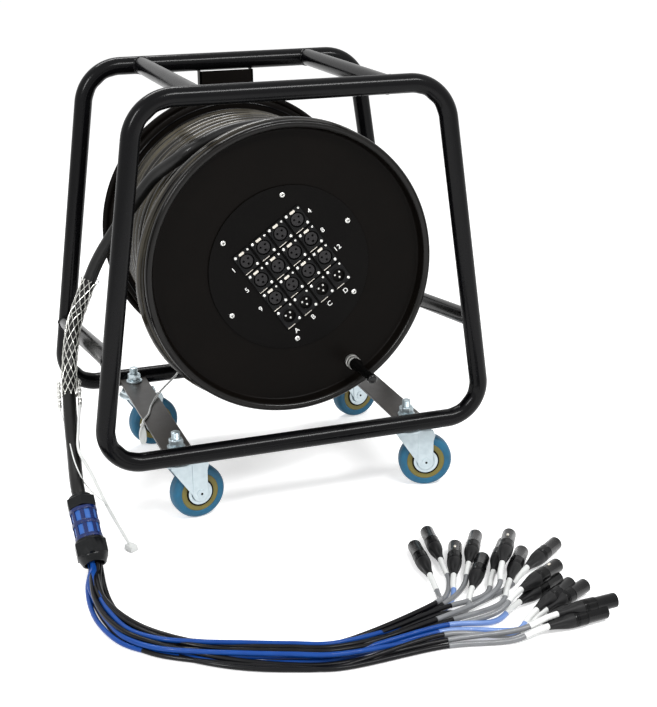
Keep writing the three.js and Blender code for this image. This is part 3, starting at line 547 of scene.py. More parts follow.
def part_of(line, start, end, step):
    """The stretch of a line between two lengths along it, as points about a step apart."""
    count = max(2, round((end - start) / step))
    wanted = [start + (end - start) * k / count for k in range(count + 1)]
    made, run, i = [], 0, 0
    for want in wanted:
        while i < len(line) - 2 and run + (line[i + 1] - line[i]).length < want:
            run += (line[i + 1] - line[i]).length
            i += 1
        span = (line[i + 1] - line[i]).length
        made.append(line[i].lerp(line[i + 1], min(max((want - run) / span, 0), 1)))
    return made


def sweep(line, radius, sides=24, closed=False, flat=1.0, shaped=None):
    """A tube along a line. radius is one number or one for each point; flat is its height as a share of its
    width; shaped(i, way) gives a change of radius by station and by the direction out of the line."""
    line = [Vector(p) for p in line]
    count = len(line)
    ways = []
    for i in range(count):
        before = line[i - 1] if i or closed else line[0]
        after = line[(i + 1) % count] if i < count - 1 or closed else line[-1]
        ways.append((after - before).normalized())
    side = ways[0].cross(Vector((0, 0, 1)))
    if side.length < 0.1:
        side = ways[0].cross(Vector((0, 1, 0)))
    side.normalize()
    points, faces = [], []
    for i, (middle, way) in enumerate(zip(line, ways)):
        if i:
            side = (ways[i - 1].rotation_difference(way) @ side).normalized()
        up = side.cross(way).normalized()
        size = radius[i] if hasattr(radius, "__len__") else radius
        for angle in full_turn(sides):
            out = side * math.cos(angle) + up * math.sin(angle) * flat
            reach = size + (shaped(i, out) if shaped else 0)
            points.append(middle + out * reach)
    for i in range(count if closed else count - 1):
        faces += band(i * sides, (i + 1) % count * sides, sides)
    if not closed:
        faces.append(list(range(sides))[::-1])
        faces.append([(count - 1) * sides + k for k in range(sides)])
    return points, faces


def nut(flats, height, bore=0, dome=0.8):
    """A hexagon nut about the Y axis from y = 0, with chamfered corners."""
    corner = flats / 2 / math.cos(math.radians(30))
    points, faces = [], []
    rims = [(0, flats / 2 * 0.97), (dome, corner), (height - dome, corner), (height, flats / 2 * 0.97)]
    segments = 36
    for y, reach in rims:
        for angle in full_turn(segments):
            hexagon = flats / 2 / math.cos((angle + math.pi / 6) % (math.pi / 3) - math.pi / 6)
            points.append(round_axis(min(reach, hexagon), angle, y))
    for y in (0, height):
        points += [round_axis(bore, angle, y) for angle in full_turn(segments)]
    rows = [4, 0, 1, 2, 3, 5] + ([4] if bore else [])
    for a, b in zip(rows, rows[1:]):
        faces += band(a * segments, b * segments, segments)
    return points, faces


def bolt_circle(count, start, radius, height, y):
    """Hexagon heads on a circle about the Y axis, the first at a start in degrees."""
    made = []
    for k in range(count):
        angle = math.radians(start + 360 / count * k)
        made.append(moved(nut(8, height, 0, 0.5), round_axis(radius, angle, y)))
    return made


def belongs(thing, body, stands_for):
    """Gives an object its body and the CAD nodes that it stands for."""
    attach(thing, body)
    if stands_for:
        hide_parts(*stands_for)
    return thing


def piece(name, shape, material, body, stands_for=(), sharp=32):
    """An object of a shape that moves with a body."""
    mesh = bpy.data.meshes.new(name)
    mesh.from_pydata([settle(p) for p in shape[0]], [], shape[1])
    made = bmesh.new()
    made.from_mesh(mesh)
    bmesh.ops.remove_doubles(made, verts=made.verts, dist=1e-7)
    bmesh.ops.dissolve_degenerate(made, edges=made.edges, dist=1e-8)
    bmesh.ops.recalc_face_normals(made, faces=made.faces)
    for face in made.faces:
        face.smooth = True
    for edge in made.edges:
        edge.smooth = len(edge.link_faces) != 2 or edge.calc_face_angle(0) < math.radians(sharp)
    made.to_mesh(mesh)
    made.free()
    mesh.materials.append(material)
    return belongs(placed(name, mesh), body, stands_for)


def cord(name, line, diameter, material, stands_for=()):
    """A round cord on the frame, as a curve of one spline through the points of its line."""
    data = bpy.data.curves.new(name, "CURVE")
    data.dimensions = "3D"
    data.bevel_depth = diameter / 2 * MM
    data.bevel_resolution = 4
    data.use_fill_caps = True
    spline = data.splines.new("POLY")
    spline.points.add(len(line) - 1)
    for point, place in zip(spline.points, line):
        point.co = (*settle(place), 1)
    spline.use_smooth = True
    data.materials.append(material)
    return belongs(placed(name, data), "frame", stands_for)


# Materials
def linear(colour):
    """An sRGB hex colour as linear red, green, blue and alpha."""
    parts = [int(colour[i:i + 2], 16) / 255 for i in (1, 3, 5)]
    return [c / 12.92 if c <= 0.04045 else ((c + 0.055) / 1.055) ** 2.4 for c in parts] + [1]


def per(size):
    """The texture scale that gives a pattern a size in millimetres."""
    return 1 / (size * MM)


def feed(tree, node, inputs):
    """Sets a node's values and makes its links."""
    for name, value in inputs.items():
        if isinstance(value, bpy.types.NodeSocket):
            tree.links.new(value, node.inputs[name])
        else:
            node.inputs[name].default_value = value


def add(tree, kind, inputs, **settings):
    """Adds a node with its settings, its values and its links."""
    node = tree.nodes.new(kind)
    for name, value in settings.items():
        setattr(node, name, value)
    feed(tree, node, inputs)
    return node


def blank(name):
    """A new material, its node tree, its shader and its object coordinates."""
    material = bpy.data.materials.new(name)
    material.use_nodes = True
    tree = material.node_tree
    shader = tree.nodes["Principled BSDF"]
    coordinates = add(tree, "ShaderNodeTexCoord", {}).outputs["Object"]
    return material, tree, shader, coordinates


def surface(name, dark, light, rough, metallic=0.0, grain=1.0, patch=30.0, depth=0.02, coat=0.0, **more):
    """A plain finish of two close colours: broad patches of size patch, fine grain that is depth high, and
    roughness between the two values in rough. The rest of the arguments are the shader's own inputs."""
    material, tree, shader, coordinates = blank(name)
    broad = add(tree, "ShaderNodeTexNoise", {"Vector": coordinates, "Scale": per(patch), "Detail": 4.0})
    fine = add(tree, "ShaderNodeTexNoise", {"Vector": coordinates, "Scale": per(grain), "Detail": 3.0})
    colour = add(tree, "ShaderNodeMix", {
        0: broad.outputs["Fac"], 6: linear(dark), 7: linear(light)}, data_type="RGBA")
    blend = add(
        tree, "ShaderNodeMath", {0: broad.outputs["Fac"], 1: fine.outputs["Fac"]}, operation="MULTIPLY")
    shine = add(tree, "ShaderNodeMapRange", {
        "Value": blend.outputs[0], "From Min": 0.12, "From Max": 0.4, "To Min": rough[0], "To Max": rough[1]})
    bump = add(
        tree, "ShaderNodeBump", {"Height": fine.outputs["Fac"], "Distance": depth * MM, "Strength": 0.8})
    feed(tree, shader, {
        "Base Color": colour.outputs[2], "Roughness": shine.outputs[0], "Normal": bump.outputs[0],
        "Metallic": metallic, "Coat Weight": coat})
    feed(tree, shader, {socket.replace("_", " "): value for socket, value in more.items()})
    return material


# Powder coat on steel tube, sprayed and baked: deep black, and a faint orange peel breaks up the long narrow
# highlight on its top.
powder_coat = surface(
    "powder_coat_black", "#030304", "#08080a", (0.22, 0.3), grain=1.6, depth=0.002, coat=0.2,
    Specular_IOR_Level=0.04, Coat_Roughness=0.16)
# Stoved enamel on pressed steel sheet: flatter and softer than the tube, with a warm bloom.
sheet_enamel = surface(
    "sheet_enamel_black", "#060504", "#0f0c0a", (0.3, 0.4), grain=0.8, patch=60, depth=0.004,
    Specular_IOR_Level=0.05)
# The same enamel on the rolled rim, where hands have polished it: it keeps a soft line of light.
rim_enamel = surface(
    "rim_enamel_black", "#080706", "#110f0d", (0.24, 0.34), grain=0.8, patch=60, depth=0.004, coat=0.2,
    Specular_IOR_Level=0.12, Coat_Roughness=0.16)
# The panel's matt powder coat has a finer, drier grain.
panel_coat = surface(
    "panel_coat_black", "#060505", "#0c0b0a", (0.42, 0.54), grain=0.6, depth=0.008, Specular_IOR_Level=0.06)
# Flat bar in hammered grey-brown enamel, satin.
bar_enamel = surface(
    "bar_enamel_grey", "#25221f", "#332f2b", (0.3, 0.42), grain=2.2, patch=14, depth=0.03,
    Specular_IOR_Level=0.4)
# Zinc plate, blue passivated: pale, a little blue, with a soft bright grain.
zinc_plate = surface(
    "zinc_plate_blue", "#a9b8bf", "#d3dee2", (0.28, 0.45), metallic=0.8, grain=1.2, patch=9, depth=0.01)
# Elastic rubber of the tyre, moulded: matt, faintly mottled.
blue_rubber = surface("tyre_rubber_blue", "#0c4763", "#15688a", (0.5, 0.65), grain=1.4, patch=12, depth=0.02)
# Nylon wheel centre, moulded in olive.
olive_nylon = surface(
    "wheel_nylon_olive", "#635a20", "#7b7134", (0.45, 0.6), grain=1.2, patch=10, depth=0.015)
# Black rubber of the wheels' seals. It also lines the dark wells and cups.
# On the screws' cross recesses and the axles' dimples it is painted shade.
black_rubber_and_shade = surface(
    "rubber_black_and_painted_shade", "#030303", "#080808", (0.5, 0.6), grain=0.9, depth=0.01, Specular_IOR_Level=0.08)
# Glass filled nylon of the plugs' shells: glossy, with a fine sparkle.
shell_nylon = surface(
    "shell_nylon_black", "#060607", "#0d0d0e", (0.2, 0.3), grain=0.7, patch=10, depth=0.004, coat=0.15,
    Specular_IOR_Level=0.1, Coat_Roughness=0.12)
# Thermoplastic rubber of the plugs' boots: matt and a little grey where light falls along it.
boot_rubber = surface(
    "boot_rubber_black", "#0c0c0d", "#151516", (0.46, 0.58), grain=0.8, patch=8, depth=0.01,
    Specular_IOR_Level=0.25)
# Die cast receptacle flanges in black chrome.
black_chrome = surface(
    "receptacle_black", "#060607", "#0e0e0f", (0.28, 0.4), grain=0.9, depth=0.008, coat=0.06,
    Specular_IOR_Level=0.1)
# Moulded inserts with the contacts' holes: dry dark grey.
insert_nylon = surface(
    "insert_nylon_grey", "#1e1d1e", "#2b2a2b", (0.45, 0.6), grain=0.8, depth=0.01, Specular_IOR_Level=0.2)
# Nickel plate on screws, plug pins, ferrules and the crank's collar: bright, with a fine drawn grain.
nickel = surface(
    "nickel_plate", "#c9c9c5", "#e6e6e2", (0.22, 0.36), metallic=0.9, grain=1.0, patch=5, depth=0.008)
# Plating of the panel's male contacts: pale and satin, so that they catch the light in their dark cups.
contact_plate = surface(
    "contact_plate", "#dededa", "#f0f0ec", (0.4, 0.5), metallic=0.2, grain=0.8, patch=4, depth=0.005)
# Silver plated latches and tabs, pressed, satin. The thin bar under each receptacle is a painted highlight.
latch_steel = surface(
    "latch_steel", "#d0cabd", "#e6e1d8", (0.35, 0.5), metallic=0.6, grain=0.8, patch=4, depth=0.01)
# Galvanised wire of the pulling grip: bright where it bends over the wires beneath.
wire_steel = surface(
    "wire_galvanised", "#d2d2cc", "#ecece6", (0.22, 0.36), metallic=0.8, grain=0.5, patch=3, depth=0.01)
# Turned steel of the shaft and the bearing block, oiled. On the panel's rim it is a painted highlight.
steel_grey = surface(
    "shaft_steel_grey", "#4c4c4e", "#66666a", (0.35, 0.5), metallic=0.9, grain=1.0, patch=10, depth=0.01)
# Screen printed ink of the panel's numbers.
white_ink = surface("white_ink", "#e6e6e3", "#f7f7f4", (0.5, 0.6), grain=0.5, patch=2, depth=0.004)
# Polished plastic of the crank's grip: black, with one sharp highlight.
black_gloss = surface(
    "grip_plastic_black", "#040404", "#0a0a0a", (0.16, 0.26), grain=1.2, patch=12, depth=0.006, coat=0.3,
    Specular_IOR_Level=0.15, Coat_Roughness=0.08)
# Moulded nylon of the gland's nuts.
gland_nylon = surface(
    "gland_nylon_black", "#070809", "#101214", (0.28, 0.4), grain=1.0, patch=8, depth=0.01, coat=0.12,
    Specular_IOR_Level=0.15)
# PVC of the leads, extruded: black with a soft grey sheen, or blue.
lead_black = surface(
    "lead_pvc_black", "#060608", "#0e0e11", (0.28, 0.4), grain=1.5, patch=20, depth=0.006, coat=0.12,
    Specular_IOR_Level=0.12)
lead_blue = surface(
    "lead_pvc_blue", "#09357e", "#0f4a98", (0.3, 0.44), grain=1.5, patch=20, depth=0.01, coat=0.15,
    Specular_IOR_Level=0.15)
# Heat shrink sleeves: white at the plug, cloudy grey further on, pale blue where a blue lead shows through.
white_sleeve = surface(
    "shrink_sleeve_white", "#d3d5d4", "#ebecea", (0.34, 0.46), grain=1.2, patch=9, depth=0.02)
grey_sleeve = surface(
    "shrink_sleeve_grey", "#5d5f61", "#85878a", (0.28, 0.42), grain=1.2, patch=22, depth=0.02, coat=0.2)
sleeve_on_blue = surface(
    "shrink_sleeve_blue", "#5578b8", "#7f9ccf", (0.28, 0.42), grain=1.2, patch=22, depth=0.02, coat=0.2)


def clear_plastic(name, colour, rough, through):
    """Clear or tinted plastic that shows what is behind it; through is the share of light it lets pass."""
    material, tree, shader, coordinates = blank(name)
    cloud = add(tree, "ShaderNodeTexNoise", {"Vector": coordinates, "Scale": per(4), "Detail": 3.0})
    shine = add(
        tree, "ShaderNodeMapRange", {"Value": cloud.outputs["Fac"], "To Min": rough, "To Max": rough + 0.2})
    bump = add(
        tree, "ShaderNodeBump", {"Height": cloud.outputs["Fac"], "Distance": 0.04 * MM, "Strength": 0.5})
    feed(tree, shader, {
        "Roughness": shine.outputs[0], "Normal": bump.outputs[0], "Base Color": linear(colour),
        "Transmission Weight": through, "IOR": 1.49})
    return material


# Polycarbonate gland body, moulded in transparent blue.
gland_blue = clear_plastic("gland_polycarbonate_blue", "#06286c", 0.06, 0.45)
# The tube inside the gland's cage is paler than the cage, so the windows show light: a painted highlight.
window_highlight_blue = clear_plastic("gland_window_highlight_blue", "#2f6cc4", 0.1, 0.3)
# Polythene strap and tie, clear but cloudy in patches.
clear_strap = clear_plastic("strap_polythene_clear", "#eceeec", 0.24, 0.2)


def cable_jacket():
    """PVC jacket over a braided screen. It is extruded, so its streaks and its sheen run along it, and the
    screen shows through it as warm and cool grey threads."""
    material, tree, shader, coordinates = blank("cable_jacket_pvc")
    along = add(tree, "ShaderNodeAttribute", {}, attribute_name="along").outputs["Fac"]
    around = add(tree, "ShaderNodeAttribute", {}, attribute_name="around").outputs["Fac"]
    both = add(tree, "ShaderNodeCombineXYZ", {"X": along, "Y": around})
    stretched = add(tree, "ShaderNodeMapping", {"Vector": both.outputs[0], "Scale": (per(90), 7.0, 1.0)})
    streaks = add(tree, "ShaderNodeTexNoise", {"Vector": stretched.outputs[0], "Scale": 1.0, "Detail": 5.0})
    warm = add(tree, "ShaderNodeTexNoise", {"Vector": coordinates, "Scale": per(60), "Detail": 2.0})
    tint = add(tree, "ShaderNodeMix", {
        0: warm.outputs["Fac"], 6: linear("#37342d"), 7: linear("#575142")}, data_type="RGBA")
    threads = add(
        tree, "ShaderNodeMapRange", {"Value": streaks.outputs["Fac"], "From Min": 0.42, "From Max": 0.62})
    colour = add(tree, "ShaderNodeMix", {
        0: threads.outputs[0], 6: linear("#0d0c0b"), 7: tint.outputs[2]}, data_type="RGBA")
    bump = add(tree, "ShaderNodeBump", {
        "Height": streaks.outputs["Fac"], "Distance": 0.12 * MM, "Strength": 0.6})
    feed(tree, shader, {
        "Base Color": colour.outputs[2], "Normal": bump.outputs[0], "Roughness": 0.26,
        "Specular IOR Level": 0.15, "Coat Weight": 0.3, "Coat Roughness": 0.16})
    return material


jacket = cable_jacket()
tail_jacket = surface(
    "tail_jacket_pvc", "#0a0a0a", "#151514", (0.34, 0.46), grain=1.5, patch=25, depth=0.01, coat=0.15,
    Specular_IOR_Level=0.2)


# The cable that leaves the drum
gland_way = (Vector(gland_mouth) - Vector(gland_top)).normalized()
gland_start = Vector(gland_top) + gland_way * gland_upper_length / 2


def ring_place(radius, angle, y):
    angle = math.radians(angle)
    return Vector((radius * math.cos(angle), y, axis_height + radius * math.sin(angle)))


def tail_line():
    """One turn in the lane, a climb over the rear turns, then down over the side tube to the gland."""
    made = []
    for i in range(lane_steps + 1):
        angle = lane_start_angle + (lane_end_angle - lane_start_angle) * i / lane_steps
        made.append(ring_place(rear_layer_radius, angle, lane_y))
    for i in range(1, climb_steps + 1):
        share = i / climb_steps
        angle = lane_end_angle + (climb_end_angle - lane_end_angle) * share
        rise = math.radians(climb_rise_angle * share)
        reach = cable_diameter + turn_gap + climb_slack * share
        made.append(ring_place(
            rear_layer_radius + reach * math.sin(rise), angle, rear_start_y - reach * math.cos(rise)))
    made += [Vector(p) for p in hang_route]
    made.append(Vector(gland_top) - gland_way * cable_diameter)
    made.append(gland_start)
    return smooth_line(made, 5)


tail_points = tail_line()
tail = cord("cable_tail_smooth", tail_points, cable_diameter, tail_jacket, ["cable_tail"])


# Gland, along the cable's last direction
def gland_turn():
    """Brings +Y to the gland's direction, with the origin where the tail ends."""
    turn = Vector((0, 1, 0)).rotation_difference(gland_way).to_matrix().to_4x4()
    return Matrix.Translation(gland_start) @ turn


def gland():
    at = gland_turn()
    upper = -gland_upper_length / 2
    body = upper + gland_upper_length + seat_gap
    lower = body + gland_body_length + seat_gap
    hole = cable_radius + 0.6
    cap = turned([
        (hole, -5), (12.5, -5), (14.5, -3.4), (15.6, 0.4), (hole, 0.4)], 48)
    upper_nut = join(
        moved(nut(gland_upper_flats, gland_upper_length, hole), (0, upper, 0)), moved(cap, (0, upper, 0)))
    pieces = [piece("gland_upper_cap", moved(upper_nut, at), gland_nylon, "frame",
                    ["gland_nut_upper"])]
    radius = gland_body_diameter / 2
    shell = []
    for ring_y in (0, gland_body_length / 2 - 2.5, gland_body_length - 5):
        shell.append(moved(lathe([
            (radius - 3, 0), (radius, 0, True), (radius, 5, True), (radius - 3, 5)], 0.8, 64),
            (0, body + ring_y, 0)))
    for k in range(8):
        rib = plate(rounded_box(5.0, gland_body_length - 6, 0.9), 2.2, edge=0.5)
        place = rotation(45 * k + 8, "Y")
        rib = moved(rib, (0, radius - 3, 0))
        upright = rotation(90, "X")
        shell.append(moved(rib, Matrix.Translation((0, body + gland_body_length / 2, 0)) @ place @ upright))
    pieces.append(
        piece("gland_cage", moved(join(*shell), at), gland_blue, "frame", ["gland_body"]))
    # The inner tube's paler blue in the windows is a painted highlight.
    tube = turned(
        [(9, body), (radius - 2.2, body), (radius - 2.2, body + gland_body_length),
            (9, body + gland_body_length)], 64)
    pieces.append(piece("gland_inner_tube", moved(tube, at), window_highlight_blue, "frame"))
    filler = turned(
        [(0, body), (8.6, body), (8.6, body + gland_body_length), (0, body + gland_body_length)], 32)
    pieces.append(piece("gland_filler", moved(filler, at), lead_black, "frame"))
    mouth = lathe([
        (10.5, 22), (15.5, 22), (18.2, 20, True), (18.2, 24, True), (14.6, gland_lower_length, True),
        (12.6, gland_lower_length, True), (11.8, 25)], 1.6, 64)
    collar = lathe([(10, 0), (18.4, 0, True), (18.4, 5, True), (10, 5)], 1.2, 64)
    lower_nut = join(
        moved(nut(gland_lower_flats, 20, 10.5, 1.4), (0, lower + 3, 0)),
        moved(mouth, (0, lower, 0)), moved(collar, (0, lower, 0)))
    pieces.append(piece("gland_lower_cap", moved(lower_nut, at), gland_nylon, "frame",
                        ["gland_nut_lower"]))
    return pieces, lower + gland_lower_length


gland_pieces, gland_end = gland()
gland_exit = gland_start + gland_way * (gland_end - 6)


# Mesh grip: crossing wires round the cable, ferrules on both sides, legs and a clear strap
def mesh_grip():
    start = Vector(hang_route[5]).lerp(Vector(hang_route[4]), 0.35)
    first = min(range(len(tail_points)), key=lambda i: (tail_points[i] - start).length)
    last = min(range(len(tail_points)), key=lambda i: (tail_points[i] - Vector(hang_route[10])).length)
    line = tail_points[first:last + 1]
    total = length_of(line)
    line = part_of(line, 0, total, 2.5)
    side = Vector((1, 0, 0))
    frames = []
    for i, middle in enumerate(line):
        way = (line[min(i + 1, len(line) - 1)] - line[max(i - 1, 0)]).normalized()
        side = (side - way * side.dot(way)).normalized()
        frames.append((middle, side.copy(), way.cross(side)))
    wires = []
    count, pitch, wire = 8, 150, 0.55
    for hand in (1, -1):
        for k in range(count):
            path = []
            for i, (middle, right, up) in enumerate(frames):
                run = total * i / (len(frames) - 1)
                angle = hand * 2 * math.pi * run / pitch + 2 * math.pi * (k + 0.5 * (hand < 0)) / count
                weave = 0.35 * math.sin(2 * math.pi * run / (pitch / count) + math.pi * k) * hand
                flare = 3.2 * max(0, 1 - run / 9) ** 2
                reach = cable_radius + 0.9 + weave + flare
                path.append(middle + right * reach * math.cos(angle) + up * reach * math.sin(angle))
            wires.append(sweep(path, wire, 6))
    grip = piece("grip_mesh_wires", join(*wires), wire_steel, "frame", ["mesh_grip"])
    pieces = [grip]
    foot = Vector(hang_route[10])
    way = (Vector(hang_route[11]) - foot).normalized()
    draw = random.Random(7)
    for name, sign in (("left", -1), ("right", 1)):
        middle = foot + Vector((sign * (sleeve_inner + ferrule_diameter / 2 + 0.4), 0, 0))
        crimps = []
        for run in (-16, -3, 11):
            lean = Vector((draw.uniform(-0.12, 0.12), draw.uniform(-0.12, 0.12), 0))
            stretch = (way + lean).normalized()
            at = middle + way * run
            ends = [
                at - stretch * 5.5, at - stretch * 5, at - stretch * 2, at, at + stretch * 2,
                at + stretch * 5,
                    at + stretch * 5.5]
            crimps.append(sweep(ends, [2.0, 2.6, 2.9, 2.3, 2.9, 2.6, 2.0], 12))
        for run in (-20, -8, 6, 16):
            at = middle + way * run
            loop = [at + Vector((sign * 2.2 * math.cos(a), 1.5 * math.sin(a), 3.2 * math.sin(a)))
                    for a in full_turn(14)]
            crimps.append(sweep(loop, 0.45, 6, closed=True))
        pieces.append(piece("grip_ferrules_" + name, join(*crimps), nickel, "frame"))
    return pieces


grip_pieces = mesh_grip()


def wire_legs():
    """Two clear legs leave the ferrules. The right one runs on as the strap, with a flat film along its lower
    part and a clear buckle at its end, and the left one joins it."""
    foot = Vector(hang_route[10])
    way = (Vector(hang_route[11]) - foot).normalized()
    reach = sleeve_inner + ferrule_diameter / 2
    right = foot + Vector((reach, 0, 0)) + way * 15
    left = foot + Vector((-reach, 0, 0)) + way * 18
    line = smooth_line([right, *wire_leg_route], 4)
    right_leg = cord("grip_strap", line, strap_diameter, clear_strap)
    total = length_of(line)
    film = piece(
        "grip_strap_film", sweep(
            part_of(line, total * film_span[0], total * film_span[1], 4), film_half_width, 16, flat=0.4),
            clear_strap,
        "frame")
    join_at = Vector(wire_leg_route[3])
    second = smooth_line([
        left, left + Vector((4, -22, -24)), Vector((-304, -12, 116)), Vector((-293, -14, 88)),
        join_at + Vector((0, -3, 2))], 4)
    leg = cord("grip_second_leg", second, second_leg_diameter, clear_strap)
    end = Vector(wire_leg_route[-1])
    heading = Matrix.Translation(end) @ rotation(-62, "Z")
    block = moved(plate(rounded_box(15, 8, 1.2), 11, edge=0.9), (2, -5.5, -2.6))
    ridges = [
        moved(plate(rounded_box(1.2, 8.6, 0.4), 11.6, edge=0.3), (x, -5.8, -2.6)) for x in (-2, 1, 4, 7)]
    buckle = piece("grip_buckle", moved(join(block, *ridges), heading), clear_strap, "frame")
    return right_leg, line, leg, second, [film, buckle]


strap, strap_line, second_leg, second_line, strap_pieces = wire_legs()


# Tie cord over the rear loop and the left caster bar, with its knotted loop below
def tie():
    line = smooth_line([*tie_route, tie_loop_route[0]], 3)
    strip = cord("tie_strip", line, tie_width, clear_strap, ["tie_cord"])
    top, bottom = Vector(tie_loop_route[0]), Vector(tie_loop_route[1])
    middle = (top + bottom) / 2
    half = (top - bottom).length / 2
    loop, film = [], []
    for angle in full_turn(40):
        loop.append(
            middle + Vector((4.2 * math.sin(angle), 1.6 * math.sin(2 * angle), half * math.cos(angle))))
        film.append((3.8 * math.sin(angle), half * 0.95 * math.cos(angle)))
    knot = [top + Vector((1.8 * math.cos(a), 1.8 * math.sin(a), 1.2 * math.sin(2 * a) + 1))
            for a in full_turn(24)]
    shape = join(
        sweep(loop, 1.2, 12, closed=True), sweep(knot, 1.4, 12, closed=True),
        moved(plate(film, 0.6, edge=0.1), middle - Vector((0, 0.3, 0))))
    end = piece("tie_knot", shape, clear_strap, "frame")


tie()


# Plugs and leads
def plug(index, boot, heading, latched):
    """A plug with its boot's thin end at a place: boot, ring, shell, and an open end with pins or a face."""
    at = Matrix.Translation(boot) @ rotation(heading - 90, "Z")
    radius = plug_diameter / 2
    rings, segments = 22, 48
    points, faces = [], []
    for i in range(rings + 1):
        t = i / rings
        swell = t * t * (3 - 2 * t)
        base = boot_end_diameter / 2 + (radius - 0.2 - boot_end_diameter / 2) * swell ** 0.8
        scallop = 1.5 * math.sin(math.pi * min(1, t * 1.15)) ** 2
        for angle in full_turn(segments):
            reach = base - scallop * (0.5 + 0.5 * math.cos(4 * angle)) ** 2
            points.append(round_axis(reach, angle, boot_length * t))
    for i in range(rings):
        faces += band(i * segments, (i + 1) * segments, segments)
    faces.append(list(range(segments)))
    faces.append([rings * segments + k for k in range(segments)])
    boot_piece = piece(
        f"plug_boot_{index}", moved((points, faces), at), boot_rubber, "frame")
    front = boot_length + shell_length
    grooves = []
    for y in (boot_length + 2.4, boot_length + 4.6, boot_length + 16):
        grooves += [(radius, y), (radius - 0.5, y + 0.3), (radius - 0.5, y + 0.9), (radius, y + 1.2)]
    shell_outline = [
        (radius - 1.6, boot_length), (radius - 0.3, boot_length, True), (radius, boot_length + 1.2), *grooves,
        (radius - 0.1, boot_length + 18), (radius - 0.7, boot_length + 19.5), (radius - 0.7, front, True),
        (radius - 2.2, front, True), (radius - 2.2, front - 12), (0, front - 12), (0, boot_length)]
    shell = piece(
        f"plug_shell_{index}", moved(lathe(shell_outline, 1.1, 48), at), shell_nylon, "frame")
    parts = [boot_piece, shell]
    if latched:
        tab = moved(plate(rounded_box(3.2, 5, 1.2), 2.2, edge=0.5), (0, -radius - 0.3, 0))
        lie = Matrix.Translation((0, boot_length + 27, 0)) @ rotation(-90, "X")
        parts.append(piece(f"plug_tab_{index}", moved(tab, at @ lie), latch_steel, "frame"))
    else:
        pins = []
        for angle in (90, 210, 330):
            pin = lathe(
                [(0, front - 12), (1.2, front - 12), (1.2, front - 2.5, True), (0, front - 2)], 0.6, 12)
            pins.append(moved(pin, round_axis(pin_circle / 2, math.radians(angle), 0)))
        parts.append(piece(f"plug_pins_{index}", moved(join(*pins), at), nickel, "frame"))
    return parts


def lead_slots():
    """Where the sixteen leads lie in the bundle, from its outer side: (across, height) on the floor."""
    floor = []
    for layer, count in enumerate((7, 5, 4)):
        for k in range(count):
            floor.append(((k - (count - 1) / 2) * 6.4, 3.8 + 5.4 * layer))
    return sorted(floor)


def mouth_places():
    """Where the leads lie in the gland's mouth, from its outer side: (across, up)."""
    made = []
    for k in range(16):
        angle = math.radians(137.5 * k)
        reach = 7.4 * math.sqrt((k + 0.5) / 16)
        made.append(polar(reach, angle))
    return sorted(made)


def lead_line(rank, early, boot, heading):
    """A lead from the gland's mouth along the bundle, over the line where the leads fan out, into its boot.
    Also gives the place where it crosses that line."""
    slots = lead_slots()
    mouth_side = Vector((1, 0, 0))
    mouth_up = gland_way.cross(mouth_side)
    right, up = mouth_places()[early]
    start = gland_exit + mouth_side * right + mouth_up * up
    corners = [start, start + gland_way * 9]
    route = [Vector(p) for p in bundle_route]
    for i, middle in enumerate(route):
        before = route[i - 1] if i else gland_exit
        after = route[i + 1] if i < len(route) - 1 else middle
        way = (after - before).normalized()
        side = Vector((-way.y, way.x, 0)).normalized()
        share = max(0, (i - reorder_from) / (len(route) - 1 - reorder_from))
        share = share * share * (3 - 2 * share)
        across = slots[early][0] + (slots[rank][0] - slots[early][0]) * share
        height = slots[early][1] + (slots[rank][1] - slots[early][1]) * share
        across = across * bundle_spread[i] + lead_waver * math.sin(rank * 2.1 + i * 1.3)
        if rank == low_rank:
            across -= low_dip[i]
            height = 3.8
        place = middle + side * across
        place.z = height if i else height * 0.85 + 5
        corners.append(place)
    low, high = (Vector((*end, 0)) for end in fan_gate)
    gate = low.lerp(high, (rank + 0.5) / 16)
    gate.z = 3.8 + 3.6 * (rank % 3)
    heading = math.radians(heading)
    way = Vector((math.cos(heading), math.sin(heading), 0))
    before = boot - way * 46
    before.z = 4.2 + (boot.z - 10) * 0.75
    near = boot - way * 16
    near.z = boot.z - 1.6
    corners += [gate, before, near, boot]
    return smooth_line(corners, 4), gate


def leads():
    fan = Vector(bundle_route[-1])
    order = []
    for index, (x, y, z, heading) in enumerate(plug_places):
        angle = math.radians(heading)
        way = Vector((math.cos(angle), math.sin(angle), 0))
        boot = Vector((x, y, z)) - way * (shell_length + boot_length)
        order.append((math.atan2(boot.y - fan.y, boot.x - fan.x), index, boot, heading))
    order.sort()
    free = [slot for slot in range(16) if slot not in early_slots.values()]
    draw = random.Random(11)
    for rank, (_, index, boot, heading) in enumerate(order):
        early = early_slots[rank] if rank in early_slots else free.pop(0)
        line, gate = lead_line(rank, early, boot, heading)
        total = length_of(line)
        is_blue = rank in blue_ranks
        number = index + 1
        stands_for = ["fanout_leads"] if rank == 0 else []
        lead = cord(
            f"lead_{number}", line, lead_diameter, lead_blue if is_blue else lead_black,
            stands_for)
        at_gate = min(range(len(line)), key=lambda i: (line[i] - gate).length)
        white = 32 + draw.uniform(-5, 7)
        grey = max(white + 12, total - length_of(line[:at_gate + 1]) + draw.uniform(-14, 14))
        for name, start, end, radius, material in (
            ("white", 0, white, lead_diameter / 2 + 0.7, white_sleeve),
            ("grey", white - 2, grey, lead_diameter / 2 + 0.3, sleeve_on_blue if is_blue else grey_sleeve),
        ):
            stretch = part_of(line, total - end, total - start, 3)
            piece(
                f"lead_{number}_{name}_sleeve", sweep(stretch, radius, 16), material, "frame")
        parts = plug(number, boot, heading, index in latched_plugs)


leads()


# Frame
def loop_corners():
    half_top, half_bottom = loop_top_width / 2, loop_bottom_width / 2 - loop_bottom_trim
    return [
        (Vector((-half_bottom, 0, bottom_bar_height)), bottom_bend_radius),
        (Vector((half_bottom, 0, bottom_bar_height)), bottom_bend_radius),
        (Vector((half_top, 0, top_bar_height)), top_bend_radius),
        (Vector((-half_top, 0, top_bar_height)), top_bend_radius),
    ]


